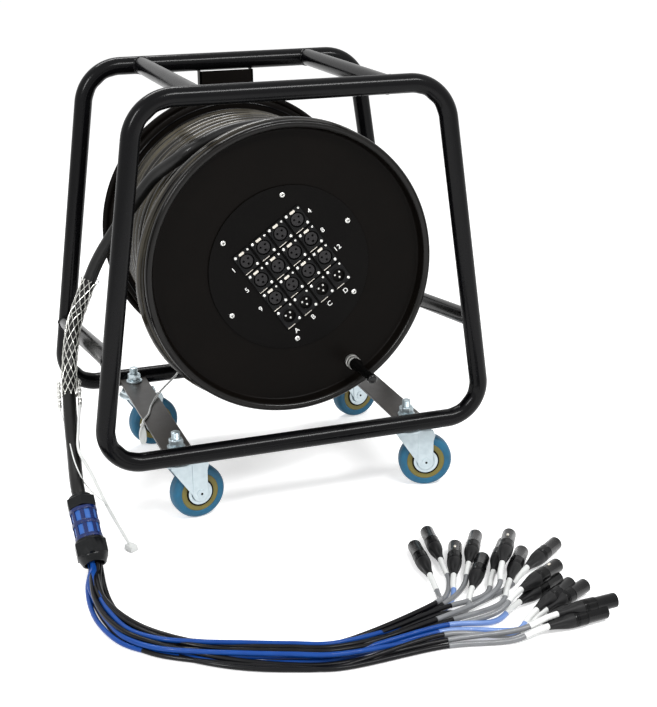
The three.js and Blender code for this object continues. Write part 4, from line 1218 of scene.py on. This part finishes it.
def loop_tube(y):
    """A bent tube. The inside of each bend has the shallow creases that a press bender leaves."""
    corners = loop_corners()
    line, creases = [], []
    steps = 24
    for i, (corner, radius) in enumerate(corners):
        back = (corners[i - 1][0] - corner).normalized()
        ahead = (corners[(i + 1) % 4][0] - corner).normalized()
        half = back.angle(ahead) / 2
        middle = corner + (back + ahead).normalized() * radius / math.sin(half)
        start = corner + back * radius / math.tan(half) - middle
        sweep_angle = math.pi - 2 * half
        for k in range(steps + 1):
            arm = Matrix.Rotation(-sweep_angle * k / steps, 3, "Y") @ start
            line.append(middle + arm + Vector((0, y, 0)))
            creases.append(
                (-arm.normalized(),
                    math.sin(math.pi * k / steps) * (0.6 + 0.4 * math.cos(6 * math.pi * k / steps))))
        after = corners[(i + 1) % 4]
        next_half = (corner - after[0]).angle(corners[(i + 2) % 4][0] - after[0]) / 2
        leave = corner + ahead * radius / math.tan(half)
        reach = after[0] - ahead * after[1] / math.tan(next_half)
        for k in range(1, 12):
            line.append(leave.lerp(reach, k / 12) + Vector((0, y, 0)))
            creases.append((Vector((0, 0, 0)), 0))

    def crease(i, out):
        inward, depth = creases[i]
        return -crease_depth * depth * max(0, out.dot(inward)) ** 3

    return sweep(line, tube_radius, 40, closed=True, shaped=crease)


def leg_x(z):
    return loop_top_width / 2 + (loop_bottom_width - loop_top_width) / 2 * (top_bar_height - z) / loop_height


def cross_tube(name, front, rear, bar_way, bulge_seed):
    """A tube between the loops, its ends coped to them and welded all round."""
    front, rear = Vector(front), Vector(rear)
    way = (rear - front).normalized()
    across = way.cross(bar_way).normalized()
    sides = 48
    points, faces, beads = [], [], []
    rims = []
    for middle, sign in ((front, 1), (rear, -1)):
        rim = []
        for angle in full_turn(sides):
            a, b = polar(tube_radius, angle)
            depth = math.sqrt(max(0, tube_radius ** 2 - a * a))
            rim.append(
                middle + (across * a + bar_way * b) * cross_tube_share + way * sign * (depth + cope_lift))
        rims.append(rim)
        draw = random.Random(bulge_seed + sign)
        sizes = [
            weld_width / 2 * (1 + 0.16 * math.sin(k * 1.9) + draw.uniform(-0.08, 0.08)) for k in range(sides)]
        bead_points, bead_faces = sweep(rim, sizes, 10, closed=True)
        beads.append(([Vector((p.x, p.y, min(p.z, weld_top))) for p in bead_points], bead_faces))
    for t in range(13):
        for a, b in zip(*rims):
            points.append(a.lerp(b, t / 12))
    for t in range(12):
        faces += band(t * sides, (t + 1) * sides, sides)
    for start in (0, 12 * sides):
        faces.append([start + k for k in range(sides)])
    piece(name + "_smooth", (points, faces), powder_coat, "frame", [name])
    piece(name + "_welds", join(*beads), powder_coat, "frame")


def frame_tubes():
    piece("front_loop_smooth", loop_tube(0), powder_coat, "frame", ["front_loop"])
    piece("rear_loop_smooth", loop_tube(loop_spacing), powder_coat, "frame", ["rear_loop"])
    for side, sign in (("left", -1), ("right", 1)):
        top = sign * top_tube_spacing / 2
        cross_tube(
            "top_tube_" + side, (top, 0, top_bar_height), (top, loop_spacing, top_bar_height),
            Vector((1, 0, 0)), 3)
        lean = Vector((sign * (loop_top_width - loop_bottom_width) / 2, 0, loop_height)).normalized()
        cross_tube(
            "side_tube_" + side, (sign * leg_x(side_tube_front_height), 0, side_tube_front_height),
            (sign * leg_x(side_tube_rear_height), loop_spacing, side_tube_rear_height), lean, 5)


def caster_bars():
    length = loop_spacing - tube_diameter
    for side, sign in (("left", -1), ("right", 1)):
        inset = length / 2 - stud_inset + tube_radius
        holes = [circle(stem_diameter / 2 + 0.2, 24, (0, y)) for y in (-inset, inset)]
        bar = plate(rounded_box(caster_bar_width, length, 1.0), caster_bar_thickness, holes, 0.5)
        lay = Matrix.Translation(
            (sign * caster_bar_spacing / 2, loop_spacing / 2, bottom_bar_height + caster_bar_thickness / 2))
        piece("caster_bar_" + side + "_flat", moved(bar, lay @ rotation(-90, "X")),
              bar_enamel, "frame", ["caster_bar_" + side])
        beads = []
        for y in (tube_radius, loop_spacing - tube_radius):
            start = Vector(
                (sign * caster_bar_spacing / 2 - caster_bar_width / 2 + 1, y, bottom_bar_height + 2))
            line = [start + Vector((38 * k / 12, 0, 0)) for k in range(13)]
            beads.append(sweep(line, [1.9 + 0.3 * math.sin(k * 2.3) for k in range(13)], 10))
        piece("caster_bar_" + side + "_welds", join(*beads), powder_coat, "frame")


frame_tubes()
caster_bars()


# Casters
def caster_stem(at, name):
    bar_top = bottom_bar_height + caster_bar_thickness / 2
    upright = rotation(90, "X")
    bottom = fork_top + 4.3
    race_top = bottom_bar_height - caster_bar_thickness / 2 - 0.3
    race = lathe([(0, bottom), (15, bottom, True), (15, race_top, True), (0, race_top)], 1.2, 48)
    thread_top = bar_top + washer_thickness + nut_height + stem_proud
    outline = [
        (0, fork_top + 6), (stem_diameter / 2, fork_top + 6),
        (stem_diameter / 2, bar_top + washer_thickness + nut_height - 1)]
    z = outline[-1][1]
    while z < thread_top - 1.8:
        outline += [(stem_diameter / 2 - 0.7, z + 0.85), (stem_diameter / 2, z + 1.7)]
        z += 1.7
    outline += [(stem_diameter / 2 - 1.4, thread_top), (0, thread_top)]
    washer = lathe([
        (6.2, bar_top), (washer_diameter / 2, bar_top, True),
        (washer_diameter / 2, bar_top + washer_thickness, True),
        (6.2, bar_top + washer_thickness)], 0.6, 48)
    lock = turned(
        [(6.2, bar_top + 2.4), (9.4, bar_top + 2.4), (9.4, bar_top + 4.2), (6.2, bar_top + 4.2)], 32)
    hexagon = moved(nut(nut_flats - 1.5, nut_height - 1.8, 6), (0, bar_top + 4.2, 0))
    shape = join(race, turned(outline, 32), washer, lock, hexagon)
    piece(
        f"caster_stud_{name}", moved(shape, at @ upright), zinc_plate, "frame",
        [f"caster_stem_{name}"])


def caster_fork(at, name):
    upright = rotation(90, "X")
    head_radius = fork_head_diameter / 2
    head = lathe([
        (6.6, fork_top - fork_thickness), (head_radius - 1, fork_top - 6, True),
        (head_radius, fork_top - 5.4, True),
        (head_radius, fork_top - 3, True), (20, fork_top, True), (20, fork_top + 3.4, True),
        (16.5, fork_top + 4, True),
        (16, fork_top + 1.5), (6.6, fork_top + 1.5)], 1.6, 64)
    cheeks = []
    foot = Vector((caster_trail, wheel_radius))
    arm_left, arm_right = caster_trail - 12, caster_trail + 10
    arm = [(arm_left, fork_top - 3)]
    for k in range(13):
        angle = math.radians(180 + 180 * k / 12)
        arm.append(
            (foot.x - 1 + fork_foot_radius * math.cos(angle), foot.y + fork_foot_radius * math.sin(angle)))
    arm += [(arm_right, fork_top - 20), (arm_right + 2.5, fork_top - 11), (arm_right - 1, fork_top - 3)]
    gusset = [
        (-head_radius * 0.62, fork_top - 3), (-head_radius * 0.62, fork_top - 9), (arm_left, foot.y - 1),
        (arm_left + 5, foot.y), (arm_left + 5, fork_top - 3)]
    for sign in (-1, 1):
        cheek = plate(arm, fork_thickness, [circle(axle_diameter / 2, 20, foot)], 0.5)
        cheeks.append(moved(cheek, (0, fork_inner if sign > 0 else -fork_inner - fork_thickness, 0)))
        web = plate(gusset, 1.4, edge=0.3)
        cheeks.append(moved(web, (0, fork_inner + 0.1 if sign > 0 else -fork_inner - 1.5, 0)))
    roof = plate(rounded_box(44, 2 * (fork_inner + fork_thickness), 3), fork_thickness, edge=0.4)
    lay = Matrix.Translation((6, 0, fork_top - 3)) @ rotation(-90, "X")
    balls = []
    for angle in full_turn(16):
        ball = turned([(0, -1.8), (1.3, -1.3), (1.8, 0), (1.3, 1.3), (0, 1.8)], 12)
        balls.append(moved(ball, (*polar(race_ball_circle / 2, angle), fork_top + 2.6)))
    shape = join(moved(head, upright), *cheeks, moved(roof, lay), *balls)
    piece(
        f"caster_yoke_{name}", moved(shape, at), zinc_plate, f"swivel_{name}",
        [f"caster_fork_{name}"])
    reach = fork_inner + fork_thickness
    bolt = turned(
        [(0, -reach - 1), (axle_diameter / 2, -reach - 1), (axle_diameter / 2, reach + 1),
            (0, reach + 1)], 24)
    rivets = []
    for sign in (-1, 1):
        top = sign * rivet_height
        rivet = lathe([(0, 0), (rivet_radius, 0), (rivet_radius, top, True), (0, top)], 0.6, 32)
        rivets.append(moved(rivet, (0, sign * reach, 0)))
    axle = at @ Matrix.Translation((caster_trail, 0, wheel_radius))
    piece(f"caster_axle_{name}", moved(join(bolt, *rivets), axle), zinc_plate, f"swivel_{name}")
    # Dark discs on the axle's ends stand for the shade in its dimples: painted shade.
    dimple_shades = [moved(plate(circle(1.7, 12), 0.3, edge=0.05), (0, y, 0)) for y in (-reach - 1.3, reach + 1.0)]
    piece(f"caster_axle_dimple_shade_{name}", moved(join(*dimple_shades), axle), black_rubber_and_shade, f"swivel_{name}")


def caster_wheel(at, name):
    place = at @ Matrix.Translation((caster_trail, 0, wheel_radius))
    half = tyre_width / 2
    inner = core_diameter / 2
    tyre = lathe(mirrored([
        (inner, -half + 1), (inner + 2, -half, True), (wheel_radius - 3, -half, True),
        (wheel_radius, -half + 5, True)]), 2.4, 96)
    piece(
        f"caster_tread_{name}", moved(tyre, place), blue_rubber, f"wheel_{name}",
        [f"caster_tyre_{name}"])
    core_half = core_width / 2
    ring = lathe(mirrored([
        (dark_ring_diameter / 2, -core_half + 2), (inner - 1, -core_half + 1.4, True),
        (inner, -half + 1.2)]), 0.8, 96)
    piece(
        f"caster_hub_{name}", moved(ring, place), olive_nylon, f"wheel_{name}",
        [f"caster_core_{name}"])
    seal = lathe(mirrored([
        (cap_diameter / 2 - 1, -core_half + 0.6), (dark_ring_diameter / 2, -core_half + 0.6, True)]), 0.6, 64)
    piece(f"caster_seal_{name}", moved(seal, place), black_rubber_and_shade, f"wheel_{name}")
    caps = []
    for sign in (-1, 1):
        cap = lathe([
            (axle_diameter / 2 + 0.3, sign * (core_half - 2.4)), (cap_diameter / 2, sign * (core_half - 2.4)),
            (cap_diameter / 2, sign * (core_half - 0.3), True),
            (cap_diameter / 2 - 4, sign * core_half, True),
            (cap_diameter / 2 - 6, sign * (core_half - 0.9), True),
            (axle_diameter / 2 + 0.3, sign * (core_half - 0.9))], 0.8, 64)
        caps.append(cap)
    piece(f"caster_cap_{name}", moved(join(*caps), place), zinc_plate, f"wheel_{name}")


def casters():
    for name, sign, y in (
        ("front_left", -1, stud_inset),
        ("front_right", 1, stud_inset),
        ("rear_left", -1, loop_spacing - stud_inset),
        ("rear_right", 1, loop_spacing - stud_inset),
    ):
        stud = Matrix.Translation((sign * caster_bar_spacing / 2, y, 0))
        at = stud @ rotation(caster_turns[name], "Z")
        caster_stem(stud, name)
        caster_fork(at, name)
        caster_wheel(at, name)


casters()


# Drum
on_axis = Matrix.Translation((0, 0, axis_height))


def flange_outline(opening, face, towards):
    """The section of a pressed flange with a rolled rim; towards is +1 where the cable lies behind it."""
    roll = roll_diameter / 2
    middle = flange_diameter / 2 - roll
    wall = middle - roll / 2
    outline = [(opening, dish_depth, True), (wall - dish_wall - 1, dish_depth, True)]
    for k in range(19):
        angle = math.radians(roll_start + roll_turn * k / 18)
        outline.append((middle + roll * math.cos(angle), roll * math.sin(angle)))
    outline += [
        (wall - dish_wall + 2, dish_depth + sheet - 1, True),
        (wall - dish_wall - 2, dish_depth + sheet, True),
                (opening, dish_depth + sheet)]
    return [(r, face + towards * a, *more) for r, a, *more in outline]


def drum():
    front = lathe(flange_outline(opening_diameter / 2, roll_front, 1), 3.0, flange_segments)
    piece(
        "front_flange_pressed", moved(front, on_axis), sheet_enamel, "drum", ["front_flange"])
    rear = lathe(flange_outline(rear_flange_bore / 2, roll_rear, -1), 3.0, flange_segments)
    piece("rear_flange_pressed", moved(rear, on_axis), sheet_enamel, "drum", ["rear_flange"])
    roll, middle = roll_diameter / 2, flange_diameter / 2 - roll_diameter / 2
    angles = [math.radians(polished_start + polished_turn * k / 16) for k in range(17)]
    strip = [(middle + (roll + 0.1) * math.cos(a), roll_front + (roll + 0.1) * math.sin(a)) for a in angles]
    strip += [
        (middle + (roll - 0.5) * math.cos(a), roll_front + (roll - 0.5) * math.sin(a)) for a in angles[::-1]]
    piece(
        "front_flange_roll", moved(turned(strip, flange_segments), on_axis), rim_enamel, "drum")
    beads = []
    inner = rear_plate - sheet
    for radius in bead_radii:
        beads.append(turned([
            (radius - 1.3, inner + 0.1), (radius - 0.6, inner - 0.6), (radius, inner - 0.8),
            (radius + 0.6, inner - 0.6), (radius + 1.3, inner + 0.1)], flange_segments))
    piece("rear_flange_beads", moved(join(*beads), on_axis), powder_coat, "drum")
    outside = barrel_diameter / 2
    inside = outside - barrel_wall
    barrel = turned([
        (inside, barrel_front), (outside, barrel_front), (outside, barrel_rear), (inside, barrel_rear)], 96)
    piece("drum_barrel_tube", moved(barrel, on_axis), sheet_enamel, "drum", ["drum_barrel"])


drum()


# Wound cable
def winding(name, turns, start_angle, start_y, radius_at, stands_for, tuck):
    """A winding as one tube, and the line that it follows. Each end is tucked down to the layer beneath."""
    per_turn, sides = 96, 28
    count = round(turns * per_turn)
    line = []
    tuck_steps = 12
    for i in range(-tuck_steps, count + tuck_steps + 1):
        angle = start_angle + i * 360 / per_turn
        y = start_y + turn_pitch * i / per_turn
        y = min(max(y, start_y), start_y + turn_pitch * turns)
        over = max(0, -i, i - count) / tuck_steps
        line.append(ring_place(radius_at(angle, y) - tuck * over * over, angle, y))
    shape = sweep(line, cable_radius, sides)
    thing = piece(name, shape, jacket, "drum", stands_for, sharp=60)
    return thing, line


def jacket_marks(thing, line):
    """Stores on each point of a winding how far along and how far around the cable it is."""
    runs = [0]
    for a, b in zip(line, line[1:]):
        runs.append(runs[-1] + (b - a).length * MM)
    along = thing.data.attributes.new("along", "FLOAT", "POINT")
    around = thing.data.attributes.new("around", "FLOAT", "POINT")
    sides = len(thing.data.vertices) // len(line)
    for i in range(len(line)):
        for k in range(sides):
            along.data[i * sides + k].value = runs[i]
            around.data[i * sides + k].value = abs(2 * k / sides - 1)


def tight_radius(y):
    return front_layer_radius - front_layer_fall * (y - first_turn_y) / turn_pitch


def front_radius(angle, y):
    lean = max(0, math.cos(math.radians(angle - slack_angle)))
    return tight_radius(y) + slack_swell * lean * lean


def wound_cable():
    rear, rear_line = winding(
        "wound_turns_rear", rear_turns, lane_start_angle, rear_start_y, lambda angle, y: rear_layer_radius,
        ["wound_cable_rear"], 14)
    jacket_marks(rear, rear_line)
    front, front_line = winding(
        "wound_turns_front", front_turns, front_start_angle, first_turn_y, front_radius,
        ["wound_cable_front"], 14)
    jacket_marks(front, front_line)
    beneath = []
    for radius, from_y, to_y, fall in beneath_layers:
        turns = int((to_y - from_y) / turn_pitch)
        line = []
        for i in range(turns * 48 + 1):
            y = from_y + (to_y - from_y) * i / (turns * 48)
            line.append(ring_place(radius - fall * (y - from_y) / turn_pitch, 7.5 * i, y))
        beneath.append(sweep(line, cable_radius, 16))
    piece("wound_turns_beneath", join(*beneath), tail_jacket, "drum", ["wound_cable_core"])
    core = turned(core_section, 96)
    piece("wound_core", moved(core, on_axis), tail_jacket, "drum")


wound_cable()


# Crank
def crank():
    at = Matrix.Translation((crank_x, 0, crank_z))
    collar_front = crank_face - collar_height
    grip_back = collar_front - seat_gap
    grip_front = grip_back - grip_length
    radius = collar_diameter / 2
    knurls = 36
    rows = [
        (0, crank_face), (radius - 0.8, crank_face), (radius, crank_face - 0.9), (radius, crank_face - 6.4),
            (radius - 2, crank_face - 7), (radius - 2, crank_face - 8.4), (radius, crank_face - 9),
            (radius, collar_front + 0.9), (radius - 0.8, collar_front), (0, collar_front)]
    collar = turned(rows, knurls * 2)
    for i, p in enumerate(collar[0]):
        arm = Vector((p.x, 0, p.z))
        if arm.length > radius - 0.5:
            teeth = 0.35 if round(math.atan2(p.z, p.x) / math.pi * knurls) % 2 else 0
            collar[0][i] = Vector((p.x, p.y, p.z)) - arm.normalized() * teeth
    bolt = turned(
        [(0, grip_front + 1), (4, grip_front + 1), (4, crank_face + 2.3), (0, crank_face + 2.3)], 24)
    piece("crank_collar", moved(join(collar, bolt), at), nickel, "drum", ["crank_bolt"])
    base, tip = grip_base_diameter / 2, grip_tip_diameter / 2
    outline = rounded([
        (0, grip_front - 2.4), (tip - 2.4, grip_front - 2.4, True), (tip, grip_front - 0.4, True),
        (tip, grip_front + 6, True), (tip - 1.1, grip_front + 9, True),
        (tip - 0.6, grip_front + 34, True), (base - 1.2, grip_back - 18, True), (base, grip_back - 10, True),
        (base, grip_back, True), (4.3, grip_back)], 2.2)
    piece(
        "crank_handle", moved(turned(outline, 48), at), black_gloss, "crank", ["crank_grip"])


crank()


# Panel. Its own frame has x along a row and z up a column, and is turned with the drum.
panel_frame = on_axis @ rotation(-panel_turn, "Y")


def on_panel(shape, x=0.0, y=0.0, z=0.0):
    return moved(shape, panel_frame @ Matrix.Translation((x, y, z)))


def screw_head(diameter, height):
    """A pan head with a cross recess, its top towards -Y."""
    radius = diameter / 2
    head = lathe([
        (0, 0.2), (radius, 0.2), (radius, -height * 0.4, True), (radius * 0.7, -height, True),
        (0, -height)], 0.7, 32)
    # The cross recess is drawn as two thin dark bars on the head: painted shade.
    slots = []
    for angle in (20, 110):
        bar = moved(
            plate(rounded_box(diameter * 0.55, diameter * 0.12, 0.1, 2), 0.12, edge=0.02),
            (0, -height - 0.06, 0))
        slots.append(moved(bar, rotation(angle, "Y")))
    return head, join(*slots)


def panel():
    disc = lathe([
        (0, panel_front), (panel_diameter / 2, panel_front, True),
        (panel_diameter / 2, panel_front + panel_thickness, True), (0, panel_front + panel_thickness)],
        0.5, 160)
    piece("panel_disc", on_panel(disc), panel_coat, "drum", ["connector_panel"])
    # A thin steel ring on the panel's rim stands for the light along its edge: a painted highlight.
    rim = panel_diameter / 2 - 0.5
    edge = turned([(rim + 0.42 * math.cos(a), panel_front + 0.42 + 0.42 * math.sin(a))
                   for a in full_turn(12)], 160)
    piece("panel_edge_highlight_ring", on_panel(edge), steel_grey, "drum")
    for k in range(6):
        angle = math.radians(60 * k)
        head, cross = screw_head(panel_screw_diameter, 1.8)
        x, z = polar(screw_circle / 2, angle)
        piece(f"panel_screw_{k + 1}", on_panel(head, x, panel_front, z), nickel, "drum")
        # The dark cross on each head is painted shade in its recess.
        piece(
            f"panel_screw_recess_shade_{k + 1}", on_panel(cross, x, panel_front, z), black_rubber_and_shade, "drum")


def open_arc(radius, gap):
    """Points of a circle that is open at its top over a gap, from the gap's right side to its left."""
    start = math.acos(gap / 2 / radius)
    turn = 2 * math.pi - (math.pi - 2 * start)
    return [polar(radius, start - turn * k / 48) for k in range(49)]


def receptacle_flange(name, x, z, hole, stands_for, latched=False):
    """The flange with its raised ring. A latched one has a slot at its top for the push latch."""
    inner, outer = hole / 2, hole / 2 + ring_width
    if latched:
        top = latch_offset + latch_height / 2 + 0.3
        opening = [*open_arc(inner, latch_slot), (-latch_slot / 2, top), (latch_slot / 2, top)]
        ring = moved(
            plate([*open_arc(outer, latch_slot), *open_arc(inner, latch_slot)[::-1]], 1.3, edge=0.2),
            (0, -0.9, 0))
    else:
        opening = circle(inner, 48)
        ring = lathe([(inner, 0.4), (inner, -0.9, True), (outer - 0.2, -0.9, True), (outer, 0.4)], 0.4, 64)
    flange = plate(rounded_box(plate_width, plate_height, 1.6), plate_thickness, [opening], 0.5)
    piece(
        name, on_panel(join(flange, ring), x, plate_front, z), black_chrome, "drum",
        stands_for)


def receptacle_screws(name, x, z):
    shapes = []
    for sx, sz, size in ((-9.6, 12.6, 4.4), (9.0, -11.8, 4.4), (10.0, 12.2, 3.4)):
        head, _ = screw_head(size, 1.2)
        shapes.append(moved(head, (sx, 0, sz)))
    piece(name + "_screws", on_panel(join(*shapes), x, plate_front, z), nickel, "drum")
    # A thin silver bar under the flange's lower edge stands for the light along it: a painted highlight.
    edge_glint_bar = moved(plate(rounded_box(12, 0.8, 0.3, 2), 0.8, edge=0.2), (-6.2, -0.5, -14.4))
    piece(name + "_lip", on_panel(edge_glint_bar, x, plate_front, z), latch_steel, "drum")


def receptacles():
    shares = (-1.5, -0.5, 0.5, 1.5)
    sites = [(grid_right + c * column_pitch, grid_up - r * row_pitch, row)
             for row, r in enumerate(shares) for c in shares]
    pin_places = [polar(pin_circle / 2, math.radians(a)) for a in (30, 150, 270)]
    for number, (x, z, _) in enumerate([s for s in sites if s[2] < 3], 1):
        name = f"female_{number}"
        receptacle_flange(
            name + "_flange", x, z, face_diameter, ["female_receptacles"] if number == 1 else [], True)
        well = turned([(insert_diameter / 2 - 1, 3), (face_diameter / 2, 3), (face_diameter / 2, 0.4),
                       (face_diameter / 2 - 0.4, 0.4), (face_diameter / 2 - 0.4, 2.6),
                       (insert_diameter / 2 - 1, 2.6)], 48)
        piece(name + "_well", on_panel(well, x, plate_front, z), black_rubber_and_shade, "drum")
        insert = plate(circle(insert_diameter / 2, 48), 3.4, [circle(1.5, 16, p) for p in pin_places], 0.4)
        piece(
            name + "_insert", on_panel(insert, x, plate_front - 0.5, z), insert_nylon, "drum")
        receptacle_screws(name, x, z)
        tab = join(
            moved(plate(rounded_box(latch_width, latch_height - 0.2, 1.2), 2.8, edge=0.4),
                (0, -latch_proud, latch_offset)),
            *[moved(plate(rounded_box(0.5, 2.2, 0.2, 2), 0.3, edge=0.1),
                (dx, -latch_proud - 0.15, latch_offset))
              for dx in (-2, 0, 2)])
        piece(
            f"latch_tab_{number}", on_panel(tab, x, plate_front, z), latch_steel, f"latch_{number}",
              [f"push_latch_{number}"])
    for letter, (x, z, _) in zip("abcd", [s for s in sites if s[2] == 3]):
        name = f"male_{letter}"
        receptacle_flange(name + "_flange", x, z, male_hole_diameter, [f"male_receptacle_{letter}"])
        cup = turned(
            [(0, cup_depth), (9.2, cup_depth), (9.2, 0.2), (8.4, 0.2), (8.4, cup_depth - 1),
                (0, cup_depth - 1)], 48)
        piece(name + "_cup", on_panel(cup, x, plate_front, z), black_rubber_and_shade, "drum")
        pins = [moved(lathe([(0, 11.2), (1.4, 11.2), (1.4, 1.8, True), (0, 0.8)], 0.9, 20), (px, 0, pz))
                for px, pz in pin_places]
        piece(name + "_pins", on_panel(join(*pins), x, plate_front, z), contact_plate, "drum")
        receptacle_screws(name, x, z)


def label(text, x, z):
    """A printed number or letter, a little proud of the panel."""
    data = bpy.data.curves.new("label_" + text, "FONT")
    data.body = text
    data.size = label_size * MM
    data.align_x, data.align_y = "CENTER", "CENTER"
    data.extrude = 0.15 * MM
    data.offset = 0.06 * MM
    data.space_character = 1.2
    letters = placed("label_" + text, data)
    upright = rotation(90, "X")
    place = panel_frame @ Matrix.Translation((x, panel_front - 0.2, z))
    matrix = place.copy()
    matrix.translation = settle(place.translation)
    letters.matrix_world = matrix @ upright
    data.materials.append(white_ink)
    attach(letters, "drum")


panel()
receptacles()
for text, x, z in label_places:
    label(text, x, z)


# Back of the drum: shaft, bearing block and upright
def drum_back():
    middle = (upright_top + upright_bottom) / 2
    height = upright_top - upright_bottom
    web = plate(
        rounded_box(upright_width, height, 1.0), upright_thickness,
        [circle(upright_opening / 2, 48, (0, axis_height - middle))], 0.4)
    shapes = [moved(web, (0, upright_front, middle))]
    for sign in (-1, 1):
        flap = plate(rounded_box(upright_return, height, 0.8), upright_thickness, edge=0.4)
        turn = rotation(90, "Z")
        x = upright_width / 2 if sign > 0 else upright_thickness - upright_width / 2
        place = Matrix.Translation((x, upright_front + upright_return / 2, middle))
        shapes.append(moved(flap, place @ turn))
    piece("rear_upright_folded", join(*shapes), sheet_enamel, "frame", ["rear_upright"])
    hub_rear = rear_plate + hub_step
    radius, hub_radius = shaft_diameter / 2, hub_diameter / 2
    shaft = lathe([
        (0, rear_plate - shaft_sink), (radius, rear_plate - shaft_sink), (radius, rear_plate + seat_gap),
        (hub_radius, rear_plate + seat_gap, True), (hub_radius, rear_plate + hub_depth, True),
        (20, hub_rear, True),
        (radius, hub_rear), (radius, shaft_end), (0, shaft_end)], 1.2, 64)
    piece("shaft_turned", moved(shaft, on_axis), steel_grey, "drum", ["drum_shaft"])
    bolts = bolt_circle(6, 0, 35, 3.2, hub_rear - 0.4)
    end = moved(nut(30, 8, 0, 1.2), (0, shaft_nut_front, 0))
    piece("shaft_bolts", moved(join(*bolts, end), on_axis), zinc_plate, "drum")
    block = lathe(block_section, 1.4, 64)
    block_bolts = bolt_circle(4, 45, 30, 3.4, 325.2)
    piece("bearing_housing", moved(block, on_axis), steel_grey, "frame", ["bearing_block"])
    piece("bearing_bolts", moved(join(*block_bolts), on_axis), zinc_plate, "frame")


drum_back()


# Floor and light
def shown(tree):
    """1 for the rays that show the background: the camera's, and those that metal and glass send on."""
    path = add(tree, "ShaderNodeLightPath", {})
    sent_on = add(tree, "ShaderNodeMath", {
        0: path.outputs["Is Glossy Ray"], 1: path.outputs["Is Transmission Ray"]}, operation="MAXIMUM")
    return add(tree, "ShaderNodeMath", {
        0: path.outputs["Is Camera Ray"], 1: sent_on.outputs[0]}, operation="MAXIMUM").outputs[0]


def studio():
    mesh = bpy.data.meshes.new("floor")
    size = 12
    mesh.from_pydata(
        [(-size, -size, 0), (size, -size, 0), (size, size, 0), (-size, size, 0)], [], [(0, 1, 2, 3)])
    floor = placed("floor", mesh)
    material = bpy.data.materials.new("floor_paper_white")
    material.use_nodes = True
    tree = material.node_tree
    shader = tree.nodes["Principled BSDF"]
    lit = add(tree, "ShaderNodeMath", {0: shown(tree), 1: 0.5}, operation="MULTIPLY")
    feed(tree, shader, {
        "Base Color": linear("#f0f0f0"), "Roughness": 0.9, "Emission Strength": lit.outputs[0],
        "Emission Color": (1, 1, 1, 1)})
    mesh.materials.append(material)
    world = bpy.data.worlds.new("studio")
    world.use_nodes = True
    bpy.context.scene.world = world
    tree = world.node_tree
    strength = add(tree, "ShaderNodeMapRange", {"Value": shown(tree), "To Min": 0.55, "To Max": 1.0})
    feed(tree, tree.nodes["Background"], {"Color": (1, 1, 1, 1), "Strength": strength.outputs[0]})
    for name, place, aim, size, power in (
        ("lamp_left", (-1900, -1300, 1700), (0, 100, 250), (0.3, 0.9), 26),
        ("lamp_front", (700, -1500, 2200), (0, 100, 250), (1.5, 0.3), 44),
        ("lamp_back", (-300, 1300, 2200), (0, 150, 250), (1.4, 0.3), 26),
    ):
        data = bpy.data.lights.new(name, "AREA")
        data.shape = "RECTANGLE"
        data.size, data.size_y = size
        data.energy = power
        lamp = placed(name, data)
        lamp.location = settle(place)
        lamp.rotation_euler = (settle(aim) - settle(place)).to_track_quat("-Z", "Y").to_euler()
    bpy.context.scene.view_settings.view_transform = "Standard"


studio()
